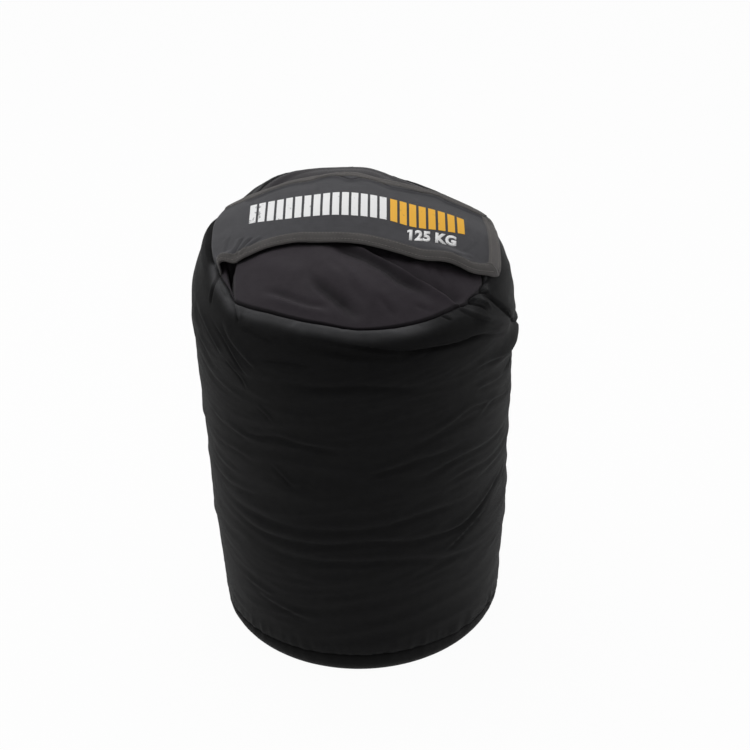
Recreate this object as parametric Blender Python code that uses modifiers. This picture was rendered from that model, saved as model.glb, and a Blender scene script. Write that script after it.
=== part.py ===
"""An upright sandbag trainer: a sewn fabric bag filled with sand, its filling sleeve
rolled up in the mouth under a wide cover flap. Metres, +Z up, the front towards -Y.
The origin is on the floor, at the middle of the base."""

import math

import bmesh
import bpy
from mathutils import Vector

# The bag
BASE_RADIUS = 0.2025
TOP_RADIUS = 0.224
BELLY = 0.001
BASE_SEAM_HEIGHT = 0.0285
BASE_CORNER_HEIGHT = 0.024
BASE_CORNER_WIDTH = 0.0225
SHOULDER_START_HEIGHT = 0.5115
SHOULDER_RISE = 0.082
SHOULDER_REACH = 0.0275
TOP_EDGE_HEIGHT = SHOULDER_START_HEIGHT + SHOULDER_RISE
TOP_EDGE_RADIUS = TOP_RADIUS - SHOULDER_REACH
TOP_EDGE_TURN = math.radians(70)
DOME_RISE = 0.0635
MOUTH_SIDE_MARGIN = 0.043
MOUTH_FRONT_MARGIN = 0.0125
MOUTH_HALF_WIDTH = TOP_EDGE_RADIUS - MOUTH_SIDE_MARGIN
MOUTH_HALF_DEPTH = TOP_EDGE_RADIUS - MOUTH_FRONT_MARGIN
MOUTH_CUT_MARGIN = 0.0135
TURN_STEPS = 40
STEP_ANGLE = math.tau / TURN_STEPS

# The layers of cloth, and the gap between two that are sewn together
SEWN_GAP = 0.0003
WALL_CLOTH = 0.003
TAPE_CLOTH = 0.0012
LINER_CLOTH = 0.0015
SKIRT_CLOTH = 0.002
LINING_CLOTH = 0.0012
PANEL_CLOTH = 0.0018
BINDING_CLOTH = 0.0008
PATCH_CLOTH = 0.0015
SEAM_ROOM = TAPE_CLOTH + 2 * SEWN_GAP

# The tapes and the sand inside the bag
BASE_TAPE_REACH = 0.012
BASE_TAPE_TURN = math.radians(18)
INNER_LAYER_TURN = math.radians(25)
SIDE_TAPE_STEPS_ROUND = TURN_STEPS // 4
SIDE_TAPE_END_GAP = 0.020
MOUTH_TAPE_WIDTH = 0.010
SAND_CROWN_DROP = 0.051
SAND_SHOULDER_DROP = 0.004

# The cover flap, laid over the dome from left to right
FLAP_LEFT_MARGIN = 0.0085
FLAP_RIGHT_MARGIN = 0.002
FLAP_LEFT = FLAP_LEFT_MARGIN - TOP_EDGE_RADIUS
FLAP_RIGHT = TOP_EDGE_RADIUS - FLAP_RIGHT_MARGIN
FLAP_FRONT = -0.064
FLAP_REAR = 0.089
FLAP_COLUMNS = 18
FLAP_ROWS = 6
FLAP_BEND_ROOM = 0.0003
BINDING_WIDTH = 0.014
BINDING_UNDER_WIDTH = 0.004

# The hook and loop patches, and the strip that holds the flap's sewn end
PATCH_MARGIN = 0.0105
PATCH_WIDTH = 0.026
PATCH_STEPS = 2
PATCH_FRONT_STEP = -2
PATCH_REAR_STEP = 1
SEAM_STRIP_MARGIN = 0.0015
SEAM_STRIP_WIDTH = 0.027
SEAM_STRIP_STEPS = 4

# The filling sleeve: its skirt in the mouth, and its end rolled up under the flap
ROLL_HALF_LENGTH = 0.100
ROLL_HALF_WIDTH = 0.045
ROLL_HALF_HEIGHT = 0.015
ROLL_ROOM = 0.0012
ROLL_POINTS = 13
ROLL_SIDE_RESOLUTION = 3
SKIRT_TOP_HALF_WIDTH = 0.104
SKIRT_TOP_HALF_DEPTH = 0.030
SKIRT_BULGE = 0.006
SKIRT_RINGS = 5
SKIRT_ROLL_ROOM = 0.0009
SLEEVE_TAPE_HALF_LENGTH = 0.070
SLEEVE_TAPE_TURN = math.radians(34)
SLEEVE_TAPE_ROOM = 0.0008
SLEEVE_TAPE_COLUMNS = 8
SLEEVE_TAPE_ROWS = 4

MERGE = 0.00001


def new_collection(name):
    collection = bpy.data.collections.new(name)
    bpy.context.scene.collection.children.link(collection)
    return collection


def cloth(name, colour, roughness):
    material = bpy.data.materials.new(name)
    material.use_nodes = True
    shader = material.node_tree.nodes["Principled BSDF"]
    shader.inputs["Base Color"].default_value = (*colour, 1)
    shader.inputs["Roughness"].default_value = roughness
    shader.inputs["Metallic"].default_value = 0
    return material


def dome_height(x, y):
    """The height of the bag's domed top over a point of the floor."""
    share = (x * x + y * y) / TOP_EDGE_RADIUS**2
    return TOP_EDGE_HEIGHT + DOME_RISE * (1 - share)


def above_dome(x, y, lift):
    """The point that stands off the dome by lift, square to it."""
    slope = -2 * DOME_RISE / TOP_EDGE_RADIUS**2
    normal = Vector((-slope * x, -slope * y, 1)).normalized()
    return Vector((x, y, dome_height(x, y))) + normal * lift


def top_line(inner_radius, outer_radius, count):
    """Points along the dome, from the inside out, each a radius and a height."""
    line = []
    for i in range(count):
        radius = inner_radius + (outer_radius - inner_radius) * i / (count - 1)
        line.append((radius, dome_height(radius, 0)))
    return line


def shoulder_line(count):
    """The rounded shoulder, from the dome's edge down to the wall."""
    width = TOP_RADIUS - TOP_EDGE_RADIUS
    height = TOP_EDGE_HEIGHT - SHOULDER_START_HEIGHT
    line = []
    for i in range(1, count):
        turn = TOP_EDGE_TURN * (1 - i / (count - 1))
        inward = (1 - math.cos(turn)) / (1 - math.cos(TOP_EDGE_TURN))
        upward = math.sin(turn) / math.sin(TOP_EDGE_TURN)
        line.append((TOP_RADIUS - width * inward, SHOULDER_START_HEIGHT + height * upward))
    return line


def wall_point(height):
    """The wall's radius and height, where it tapers from the shoulder to the base."""
    share = (height - BASE_CORNER_HEIGHT) / (SHOULDER_START_HEIGHT - BASE_CORNER_HEIGHT)
    radius = BASE_RADIUS + (TOP_RADIUS - BASE_RADIUS) * share + 4 * BELLY * share * (1 - share)
    return radius, height


def wall_line(low, high, count):
    """Points down the wall, leaving out the first one, at the height called high."""
    return [wall_point(high + (low - high) * i / (count - 1)) for i in range(1, count)]


def corner_point(turn):
    """The base's curled edge: no turn is at its top, and a quarter turn at the flat base."""
    radius = BASE_RADIUS - BASE_CORNER_WIDTH * (1 - math.cos(turn))
    return radius, BASE_CORNER_HEIGHT * (1 - math.sin(turn))


def base_line(first_turn, count):
    """Points round the curled edge from its first turn down, and the middle of the base."""
    room = math.pi / 2 - first_turn
    line = [corner_point(first_turn + room * i / (count - 1)) for i in range(count)]
    return line + [(0, 0)]


def inset(line, depth):
    """A line that runs top to bottom on the outer side, moved inwards by depth."""
    moved = []
    for i, point in enumerate(line):
        here = Vector(point)
        normals = []
        for start, end in ((i - 1, i), (i, i + 1)):
            if start >= 0 and end < len(line):
                along = (Vector(line[end]) - Vector(line[start])).normalized()
                normals.append(Vector((along.y, -along.x)))
        middle = sum(normals, Vector((0, 0))).normalized()
        here += middle * depth / middle.dot(normals[0])
        moved.append((max(here.x, 0), here.y))
    return moved


def add_part(name, mesh, material, parent=None):
    part = bpy.data.objects.new(name, mesh)
    parts.objects.link(part)
    mesh.materials.append(material)
    if parent:
        part.parent = parent
        part.matrix_parent_inverse = parent.matrix_world.inverted()
    return part


def thicken(part, thickness):
    solidify = part.modifiers.new("Cloth thickness", "SOLIDIFY")
    solidify.thickness = thickness
    solidify.offset = -1
    solidify.use_even_offset = True


def turned(name, line, material, thickness=None, steps=TURN_STEPS, first_step=0, parent=None):
    """A profile turned about the bag's axis, through all its steps or a few of them."""
    shape = bmesh.new()
    points = [shape.verts.new((radius, 0, height)) for radius, height in line]
    for start, end in zip(points, points[1:]):
        shape.edges.new((start, end))
    mesh = bpy.data.meshes.new(name)
    shape.to_mesh(mesh)
    shape.free()
    part = add_part(name, mesh, material, parent)
    part.rotation_euler.z = first_step * STEP_ANGLE
    screw = part.modifiers.new("Turn", "SCREW")
    screw.angle = steps * STEP_ANGLE
    screw.steps = steps
    screw.render_steps = steps
    screw.use_smooth_shade = True
    screw.use_merge_vertices = True
    screw.merge_threshold = MERGE
    if thickness:
        thicken(part, thickness)
    return part


def sheet(name, columns, rows, place, material, thickness, parent=None):
    """A grid whose points are laid out by place, which takes two shares from 0 to 1."""
    shape = bmesh.new()
    bmesh.ops.create_grid(shape, x_segments=columns, y_segments=rows, size=1)
    for vert in shape.verts:
        vert.co = place((vert.co.x + 1) / 2, (vert.co.y + 1) / 2)
    bmesh.ops.recalc_face_normals(shape, faces=shape.faces)
    mesh = bpy.data.meshes.new(name)
    shape.to_mesh(mesh)
    shape.free()
    mesh.shade_smooth()
    part = add_part(name, mesh, material, parent)
    thicken(part, thickness)
    return part


def oval_cutter(name, extra):
    """An upright oval bar through the mouth, wider than it by extra all round."""
    low = TOP_EDGE_HEIGHT - DOME_RISE
    high = TOP_EDGE_HEIGHT + 2 * DOME_RISE
    bpy.ops.mesh.primitive_cylinder_add(vertices=TURN_STEPS, radius=1, depth=high - low)
    cutter = bpy.context.object
    cutter.name = name
    for vert in cutter.data.vertices:
        turn = math.atan2(vert.co.y, vert.co.x)
        vert.co.x = (MOUTH_HALF_WIDTH + extra) * math.cos(turn)
        vert.co.y = (MOUTH_HALF_DEPTH + extra) * math.sin(turn)
        vert.co.z += (low + high) / 2
    for collection in cutter.users_collection:
        collection.objects.unlink(cutter)
    cutters.objects.link(cutter)
    cutter.hide_render = True
    cutter.display_type = "WIRE"
    return cutter


def cut(part, operation, cutter):
    boolean = part.modifiers.new("Mouth", "BOOLEAN")
    boolean.operation = operation
    boolean.object = cutter


def outer_top_line():
    """The bag's top from inside the mouth out to the shoulder's foot."""
    inner_radius = MOUTH_HALF_WIDTH - MOUTH_CUT_MARGIN
    return top_line(inner_radius, TOP_EDGE_RADIUS, 4) + shoulder_line(5)


def side_wall():
    line = outer_top_line()
    line += wall_line(BASE_SEAM_HEIGHT + SEWN_GAP, SHOULDER_START_HEIGHT, 5)
    part = turned("side_wall", line, shell_cloth, WALL_CLOTH)
    cut(part, "DIFFERENCE", mouth_cutter)


def base_panel():
    line = [wall_point(BASE_SEAM_HEIGHT)] + base_line(0, 5)
    turned("base_panel", line, shell_cloth, WALL_CLOTH)


def base_inner_layer():
    line = inset(base_line(INNER_LAYER_TURN, 4), WALL_CLOTH + SEWN_GAP)
    turned("base_inner_layer", line, shell_cloth, TAPE_CLOTH)


def base_seam_tape():
    top = wall_point(BASE_SEAM_HEIGHT + BASE_TAPE_REACH)
    line = [top, corner_point(0), corner_point(BASE_TAPE_TURN)]
    turned("base_seam_tape", inset(line, WALL_CLOTH + SEWN_GAP), tape_cloth, TAPE_CLOTH)


def side_seam_tape():
    low = BASE_SEAM_HEIGHT + BASE_TAPE_REACH + SIDE_TAPE_END_GAP
    high = SHOULDER_START_HEIGHT
    line = [wall_point(high)] + wall_line(low, high, 5)
    line = inset(line, WALL_CLOTH + SEWN_GAP)
    turned("side_seam_tape", line, tape_cloth, TAPE_CLOTH, 1, SIDE_TAPE_STEPS_ROUND)


def mouth_seam_tape():
    inner_radius = MOUTH_HALF_WIDTH - MOUTH_CUT_MARGIN
    line = inset(top_line(inner_radius, TOP_EDGE_RADIUS, 4), WALL_CLOTH + SEWN_GAP)
    part = turned("mouth_seam_tape", line, tape_cloth, TAPE_CLOTH)
    cut(part, "INTERSECT", mouth_tape_cutter)
    cut(part, "DIFFERENCE", mouth_cutter)


def liner_sack():
    line = outer_top_line() + wall_line(BASE_CORNER_HEIGHT, SHOULDER_START_HEIGHT, 5)
    line += base_line(0, 5)[1:]
    part = turned("liner_sack", inset(line, WALL_CLOTH + SEAM_ROOM), liner_cloth, LINER_CLOTH)
    cut(part, "DIFFERENCE", mouth_cutter)


def sand_fill():
    line = [(TOP_EDGE_RADIUS, TOP_EDGE_HEIGHT)] + shoulder_line(5)
    line += wall_line(BASE_CORNER_HEIGHT, SHOULDER_START_HEIGHT, 5) + base_line(0, 5)[1:]
    line = inset(line, WALL_CLOTH + SEAM_ROOM + LINER_CLOTH + SEWN_GAP)
    edge_radius, edge_height = line[0]
    line[0] = (edge_radius, edge_height - SAND_SHOULDER_DROP)
    turned("sand_fill", [(0, dome_height(0, 0) - SAND_CROWN_DROP)] + line, sand)


def roll_top(x):
    """The height of the sleeve roll's back, just under the flap's lining."""
    return dome_height(x, flap_middle) + lining_lift - ROLL_ROOM


def roll_section(x, turn, room):
    """A point of the roll's skin: turn runs from its rear side over the top to its front."""
    y = flap_middle + (ROLL_HALF_WIDTH + room) * math.cos(turn)
    z = roll_top(x) - ROLL_HALF_HEIGHT + (ROLL_HALF_HEIGHT + room) * math.sin(turn)
    return Vector((x, y, z))


def sleeve_roll():
    """A flattened roll that arches with the flap: a thick wire, spread in depth."""
    curve = bpy.data.curves.new("sleeve_roll", "CURVE")
    curve.dimensions = "3D"
    curve.bevel_depth = ROLL_HALF_HEIGHT
    curve.bevel_resolution = ROLL_SIDE_RESOLUTION
    curve.use_fill_caps = True
    spline = curve.splines.new("POLY")
    spline.points.add(ROLL_POINTS - 1)
    for i, point in enumerate(spline.points):
        x = flap_centre + ROLL_HALF_LENGTH * (2 * i / (ROLL_POINTS - 1) - 1)
        point.co = (x, 0, roll_top(x) - ROLL_HALF_HEIGHT, 1)
    guide = bpy.data.objects.new("roll_guide", curve)
    cutters.objects.link(guide)
    bpy.context.view_layer.update()
    graph = bpy.context.evaluated_depsgraph_get()
    mesh = bpy.data.meshes.new_from_object(guide.evaluated_get(graph))
    bpy.data.objects.remove(guide)
    shape = bmesh.new()
    shape.from_mesh(mesh)
    bmesh.ops.remove_doubles(shape, verts=shape.verts, dist=MERGE)
    for vert in shape.verts:
        vert.co.y = flap_middle + vert.co.y * ROLL_HALF_WIDTH / ROLL_HALF_HEIGHT
    bmesh.ops.recalc_face_normals(shape, faces=shape.faces)
    shape.to_mesh(mesh)
    shape.free()
    mesh.name = "sleeve_roll"
    mesh.materials.clear()
    mesh.shade_smooth()
    add_part("sleeve_roll", mesh, liner_cloth, sleeve_grip)


def sleeve_tape(name, room):
    """A strip along the front of the roll, standing off it by room."""

    def place(along, across):
        x = flap_centre + SLEEVE_TAPE_HALF_LENGTH * (2 * along - 1)
        turn = math.pi - SLEEVE_TAPE_TURN * (2 * across - 1)
        return roll_section(x, turn, room)

    columns, rows = SLEEVE_TAPE_COLUMNS, SLEEVE_TAPE_ROWS
    part = sheet(name, columns, rows, place, hook_tape, PATCH_CLOTH, sleeve_grip)
    part.modifiers["Cloth thickness"].offset = 1


def sleeve_skirt():
    """The sleeve's lower end: from the oval mouth up and in to the underside of the roll."""
    shape = bmesh.new()
    rings = []
    for i in range(SKIRT_RINGS):
        share = i / (SKIRT_RINGS - 1)
        ring = []
        for step in range(TURN_STEPS):
            turn = step * STEP_ANGLE
            low_x = (MOUTH_HALF_WIDTH - SEWN_GAP) * math.cos(turn)
            low_y = (MOUTH_HALF_DEPTH - SEWN_GAP) * math.sin(turn)
            low = Vector((low_x, low_y, dome_height(low_x, low_y) - SEWN_GAP))
            high_x = flap_centre + SKIRT_TOP_HALF_WIDTH * math.cos(turn)
            high_y = flap_middle + SKIRT_TOP_HALF_DEPTH * math.sin(turn)
            roll_foot = roll_top(high_x) - 2 * ROLL_HALF_HEIGHT
            high = Vector((high_x, high_y, roll_foot - SKIRT_ROLL_ROOM))
            point = low.lerp(high, share)
            point.z += SKIRT_BULGE * abs(math.sin(turn)) * math.sin(math.pi * share)
            ring.append(shape.verts.new(point))
        rings.append(ring)
    for lower, upper in zip(rings, rings[1:]):
        edges = []
        for ring in (lower, upper):
            for start, end in zip(ring, ring[1:] + ring[:1]):
                edge = shape.edges.get((start, end))
                edges.append(edge or shape.edges.new((start, end)))
        bmesh.ops.bridge_loops(shape, edges=edges)
    bmesh.ops.recalc_face_normals(shape, faces=shape.faces)
    if sum(face.normal.z for face in shape.faces) < 0:
        bmesh.ops.reverse_faces(shape, faces=shape.faces)
    mesh = bpy.data.meshes.new("sleeve_skirt")
    shape.to_mesh(mesh)
    shape.free()
    mesh.shade_smooth()
    thicken(add_part("sleeve_skirt", mesh, liner_cloth), SKIRT_CLOTH)


def patch(name, first_step, steps, radii, lift, thickness, material, parent=None):
    """A strip laid on the dome over a few of its steps, its underside raised by lift."""
    inner_radius, outer_radius = radii
    line = inset(top_line(inner_radius, outer_radius, 3), -(lift + thickness))
    turned(name, line, material, thickness, steps, first_step, parent)


def flap_layer(name, lift, thickness, material):
    """One layer of the flap, laid over the dome with its underside raised by lift."""

    def place(along, across):
        x = FLAP_LEFT + (FLAP_RIGHT - FLAP_LEFT) * along
        y = FLAP_FRONT + (FLAP_REAR - FLAP_FRONT) * across
        return above_dome(x, y, lift + thickness)

    sheet(name, FLAP_COLUMNS, FLAP_ROWS, place, material, thickness, flap_hinge)


def binding_section():
    """The binding's fold, as distances in from the flap's edge and lifts off the dome."""
    over = panel_lift + PANEL_CLOTH + SEWN_GAP + BINDING_CLOTH
    under = lining_lift - SEWN_GAP - BINDING_CLOTH
    out = -(SEWN_GAP + BINDING_CLOTH)
    return [(BINDING_WIDTH, over), (out, over), (out, under), (BINDING_UNDER_WIDTH, under)]


def flap_binding(name, along_edge, columns):
    """A folded tape over one edge: along_edge gives the point, and which way is inwards."""
    section = binding_section()
    last = len(section) - 1

    def place(along, across):
        inward, lift = section[round(across * last)]
        x, y, inward_x, inward_y = along_edge(along)
        return above_dome(x + inward * inward_x, y + inward * inward_y, lift)

    sheet(name, columns, last, place, binding_tape, BINDING_CLOTH, flap_hinge)


def front_edge(along):
    return FLAP_LEFT + (FLAP_RIGHT - FLAP_LEFT) * along, FLAP_FRONT, 0, 1


def rear_edge(along):
    return FLAP_LEFT + (FLAP_RIGHT - FLAP_LEFT) * along, FLAP_REAR, 0, -1


def free_end(along):
    reach = BINDING_WIDTH + SEWN_GAP
    low, high = FLAP_FRONT + reach, FLAP_REAR - reach
    return FLAP_RIGHT, low + (high - low) * along, -1, 0


for startup_object in list(bpy.data.objects):
    bpy.data.objects.remove(startup_object, do_unlink=True)

parts = new_collection("sandbag_trainer")
cutters = new_collection("cutters")
cutters.hide_render = True

shell_cloth = cloth("shell_cloth", (0.012, 0.012, 0.013), 0.75)
tape_cloth = cloth("tape_cloth", (0.02, 0.02, 0.02), 0.8)
liner_cloth = cloth("liner_cloth", (0.036, 0.031, 0.037), 0.55)
flap_cloth = cloth("flap_cloth", (0.040, 0.040, 0.044), 0.7)
binding_tape = cloth("binding_tape", (0.065, 0.060, 0.055), 0.7)
hook_tape = cloth("hook_tape", (0.010, 0.010, 0.010), 0.9)
sand = cloth("sand", (0.45, 0.36, 0.24), 0.95)

flap_centre = (FLAP_LEFT + FLAP_RIGHT) / 2
flap_middle = (FLAP_FRONT + FLAP_REAR) / 2
loop_lift = SEWN_GAP
hook_lift = loop_lift + PATCH_CLOTH + SEWN_GAP
lining_lift = hook_lift + PATCH_CLOTH + SEWN_GAP + FLAP_BEND_ROOM
panel_lift = lining_lift + LINING_CLOTH + SEWN_GAP

flap_hinge = bpy.data.objects.new("flap_hinge", None)
flap_hinge.location = above_dome(FLAP_LEFT, 0, panel_lift)
parts.objects.link(flap_hinge)
sleeve_grip = bpy.data.objects.new("sleeve_grip", None)
sleeve_grip.location = (flap_centre, flap_middle, roll_top(flap_centre))
parts.objects.link(sleeve_grip)
bpy.context.view_layer.update()

mouth_cutter = oval_cutter("mouth_cutter", 0)
mouth_tape_cutter = oval_cutter("mouth_tape_cutter", MOUTH_TAPE_WIDTH)

base_panel()
base_inner_layer()
base_seam_tape()
side_wall()
side_seam_tape()
mouth_seam_tape()
liner_sack()
sand_fill()

patch_edge = TOP_EDGE_RADIUS - PATCH_MARGIN
patch_radii = (patch_edge - PATCH_WIDTH, patch_edge)
patch_steps = (("front", PATCH_FRONT_STEP), ("rear", PATCH_REAR_STEP))
for side, step in patch_steps:
    name = "loop_patch_" + side
    patch(name, step, PATCH_STEPS, patch_radii, loop_lift, PATCH_CLOTH, hook_tape)
    name = "hook_patch_" + side
    patch(name, step, PATCH_STEPS, patch_radii, hook_lift, PATCH_CLOTH, hook_tape, flap_hinge)
strip_edge = TOP_EDGE_RADIUS - SEAM_STRIP_MARGIN
strip_radii = (strip_edge - SEAM_STRIP_WIDTH, strip_edge)
strip_step = (TURN_STEPS - SEAM_STRIP_STEPS) // 2
patch("flap_seam_strip", strip_step, SEAM_STRIP_STEPS, strip_radii, loop_lift, TAPE_CLOTH, tape_cloth)

sleeve_skirt()
sleeve_roll()
sleeve_tape("sleeve_loop_tape", SEWN_GAP)
sleeve_tape("sleeve_hook_tape", SEWN_GAP + PATCH_CLOTH + SLEEVE_TAPE_ROOM)

flap_layer("flap_lining", lining_lift, LINING_CLOTH, flap_cloth)
flap_layer("flap_panel", panel_lift, PANEL_CLOTH, flap_cloth)
flap_binding("flap_binding_front", front_edge, FLAP_COLUMNS)
flap_binding("flap_binding_rear", rear_edge, FLAP_COLUMNS)
flap_binding("flap_binding_end", free_end, FLAP_ROWS)
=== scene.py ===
"""The looks of an upright sandbag trainer: a sewn nylon bag packed with sand, its filling
sleeve folded into the mouth under a wide cover flap. Metres, +Z up, the front towards -Y."""

import math

import bmesh
import bpy
import numpy as np
from mathutils import Euler, Matrix, Vector, noise


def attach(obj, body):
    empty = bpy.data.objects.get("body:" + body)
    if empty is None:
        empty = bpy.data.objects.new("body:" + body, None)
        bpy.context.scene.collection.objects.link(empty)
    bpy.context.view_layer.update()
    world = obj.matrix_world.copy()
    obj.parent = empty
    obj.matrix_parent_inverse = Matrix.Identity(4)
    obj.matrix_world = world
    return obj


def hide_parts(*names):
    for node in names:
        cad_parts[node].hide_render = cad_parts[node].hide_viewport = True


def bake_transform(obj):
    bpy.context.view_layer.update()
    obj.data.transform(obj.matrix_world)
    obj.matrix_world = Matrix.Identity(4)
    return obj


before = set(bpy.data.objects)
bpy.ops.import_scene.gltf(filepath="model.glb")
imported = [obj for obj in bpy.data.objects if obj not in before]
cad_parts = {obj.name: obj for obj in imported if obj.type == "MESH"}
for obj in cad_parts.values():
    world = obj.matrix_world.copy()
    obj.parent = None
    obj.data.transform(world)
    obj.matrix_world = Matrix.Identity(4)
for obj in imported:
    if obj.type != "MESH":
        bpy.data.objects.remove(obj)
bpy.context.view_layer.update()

# The studio. A camera on a stand in front of the bag looks down on its top, and the bag
# stands on a white paper sweep, lit by large soft lamps.
CAMERA_DISTANCE = 2.775
CAMERA_HEIGHT = 2.1914
CAMERA_TURN = math.radians(5.5)
CAMERA_TILT = 0.5773
CAMERA_ROLL = -0.0341
CAMERA_LENS_MM = 111.9
CAMERA_SHIFT = 0.0258

camera = bpy.data.objects.new("camera", bpy.data.cameras.new("camera"))
bpy.context.scene.collection.objects.link(camera)
bpy.context.scene.camera = camera
camera.data.sensor_width = 36
camera.data.lens = CAMERA_LENS_MM
camera.data.shift_x = CAMERA_SHIFT
camera.location = (
    CAMERA_DISTANCE * math.sin(CAMERA_TURN),
    -CAMERA_DISTANCE * math.cos(CAMERA_TURN),
    CAMERA_HEIGHT,
)
facing = Euler((math.pi / 2 - CAMERA_TILT, 0, CAMERA_TURN)).to_matrix()
camera.rotation_euler = (facing @ Matrix.Rotation(CAMERA_ROLL, 3, "Z")).to_euler()
bpy.context.scene.view_settings.view_transform = "Standard"


class Finish:
    """A material and its nodes, added one at a time."""

    def __init__(self, name):
        self.material = bpy.data.materials.new(name)
        self.material.use_nodes = True
        self.tree = self.material.node_tree
        self.shader = self.tree.nodes["Principled BSDF"]

    def node(self, kind, settings=None, sockets=None, out=0):
        made = self.tree.nodes.new("ShaderNode" + kind)
        for key, value in (settings or {}).items():
            if key == "stops":
                for stop, (position, grey) in zip(made.color_ramp.elements, value):
                    stop.position = position
                    stop.color = (grey, grey, grey, 1)
            else:
                setattr(made, key, value)
        for key, value in (sockets or {}).items():
            self.join(made.inputs[key], value)
        return Shade(self, made.outputs[out])

    def join(self, socket, value):
        if isinstance(value, Shade):
            self.tree.links.new(value.socket, socket)
        else:
            socket.default_value = value

    def set(self, **values):
        for key, value in values.items():
            self.join(self.shader.inputs[key.replace("_", " ")], value)

    def noise(self, place, scale, detail):
        return self.node("TexNoise", {}, {"Vector": place, "Scale": scale, "Detail": detail})

    def split(self, vector):
        """The x and the y of a vector."""
        outputs = self.node("SeparateXYZ", {}, {0: vector}).socket.node.outputs
        return Shade(self, outputs[0]), Shade(self, outputs[1])

    def cover(self, tone, low, high, height, strength, depth, **values):
        """Colours the surface from low to high by tone, and raises it by height."""
        colours = {"Factor": tone, 6: (*low, 1), 7: (*high, 1)}
        mixed = self.node("Mix", {"data_type": "RGBA"}, colours, out=2)
        bumps = {"Height": height, "Strength": strength, "Distance": depth}
        self.set(Base_Color=mixed, Normal=self.node("Bump", {}, bumps), **values)


class Shade:
    """A value in a material, so that its maths reads as a sum."""

    def __init__(self, finish, socket):
        self.finish = finish
        self.socket = socket

    def math(self, operation, *others):
        sockets = dict(enumerate((self, *others)))
        return self.finish.node("Math", {"operation": operation}, sockets)

    def __add__(self, other):
        return self.math("ADD", other)

    def __mul__(self, other):
        return self.math("MULTIPLY", other)

    def __sub__(self, other):
        return self.math("SUBTRACT", other)

    def __rsub__(self, other):
        return self.finish.node("Math", {"operation": "SUBTRACT"}, {0: other, 1: self})

    __radd__ = __add__
    __rmul__ = __mul__


SWEEP_SIZE = 6.0
SWEEP_GLOW = 0.965

paper = Finish("paper_sweep")
rays = paper.tree.nodes.new("ShaderNodeLightPath")
seen = Shade(paper, rays.outputs["Is Camera Ray"])
mirrored = Shade(paper, rays.outputs["Is Glossy Ray"])
glow = paper.node("Emission", {}, {"Color": (1, 1, 1, 1), "Strength": 1.0})
matt = paper.node("BsdfDiffuse", {}, {"Color": (0.9, 0.9, 0.9, 1)})
share = (seen + mirrored) * SWEEP_GLOW
surface = paper.node("MixShader", {}, {0: share, 1: matt, 2: glow})
paper.tree.links.new(surface.socket, paper.tree.nodes["Material Output"].inputs[0])


def add_piece(name, shape, finish, thickness=0.0, smooth_faces=True):
    """Makes an object of the mesh in shape, in one finish."""
    mesh = bpy.data.meshes.new(name)
    shape.to_mesh(mesh)
    shape.free()
    mesh.materials.append(finish.material)
    if smooth_faces:
        mesh.shade_smooth()
    piece = bpy.data.objects.new(name, mesh)
    bpy.context.scene.collection.objects.link(piece)
    if thickness:
        piece.modifiers.new("thickness", "SOLIDIFY").thickness = thickness
    return piece


shape = bmesh.new()
bmesh.ops.create_grid(shape, x_segments=1, y_segments=1, size=SWEEP_SIZE)
add_piece("sweep", shape, paper, smooth_faces=False)

ROOM_LIGHT = 0.24
room = bpy.data.worlds.new("studio")
bpy.context.scene.world = room
room.use_nodes = True
room_tree = room.node_tree
rays = room_tree.nodes.new("ShaderNodeLightPath")
mix = room_tree.nodes.new("ShaderNodeMixShader")
white = room_tree.nodes.new("ShaderNodeBackground")
white.inputs["Color"].default_value = (1, 1, 1, 1)
grey = room_tree.nodes["Background"]
grey.inputs["Color"].default_value = (1, 1, 1, 1)
grey.inputs["Strength"].default_value = ROOM_LIGHT
either = room_tree.nodes.new("ShaderNodeMath")
either.operation = "MAXIMUM"
room_tree.links.new(rays.outputs["Is Camera Ray"], either.inputs[0])
room_tree.links.new(rays.outputs["Is Glossy Ray"], either.inputs[1])
room_tree.links.new(either.outputs[0], mix.inputs[0])
room_tree.links.new(grey.outputs[0], mix.inputs[1])
room_tree.links.new(white.outputs[0], mix.inputs[2])
room_tree.links.new(mix.outputs[0], room_tree.nodes["World Output"].inputs[0])

LAMP_AIM = Vector((0, 0, 0.45))
LAMPS = (
    ("lamp_over", (-0.3, 0.6, 2.6), 1.6, 26.0),
    ("lamp_left", (-2.2, 0.1, 1.3), 1.4, 9.0),
    ("lamp_right", (2.2, 0.2, 1.3), 1.4, 7.0),
)
for lamp_name, place, size, power in LAMPS:
    lamp = bpy.data.lights.new(lamp_name, "AREA")
    lamp.shape = "SQUARE"
    lamp.size = size
    lamp.energy = power
    holder = bpy.data.objects.new(lamp_name, lamp)
    bpy.context.scene.collection.objects.link(holder)
    holder.location = place
    holder.rotation_euler = (LAMP_AIM - Vector(place)).to_track_quat("-Z", "Y").to_euler()

# The bag's shape: a turned profile, from the domed top out over the rounded shoulder and
# down the tapered wall to the base's curled edge. The sand has settled, so the whole top
# leans a little to the front, sinks under the flap's front edge and swells behind it.
BASE_RADIUS = 0.2025
TOP_RADIUS = 0.224
BELLY = 0.001
CORNER_HEIGHT = 0.024
CORNER_WIDTH = 0.0225
SHOULDER_HEIGHT = 0.5115
EDGE_HEIGHT = 0.5935
EDGE_RADIUS = 0.1965
EDGE_TURN = math.radians(70)
DOME_RISE = 0.0635
DOME_START = 0.10


def dome_height(x, y):
    return EDGE_HEIGHT + DOME_RISE * (1 - (x * x + y * y) / EDGE_RADIUS**2)


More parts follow.
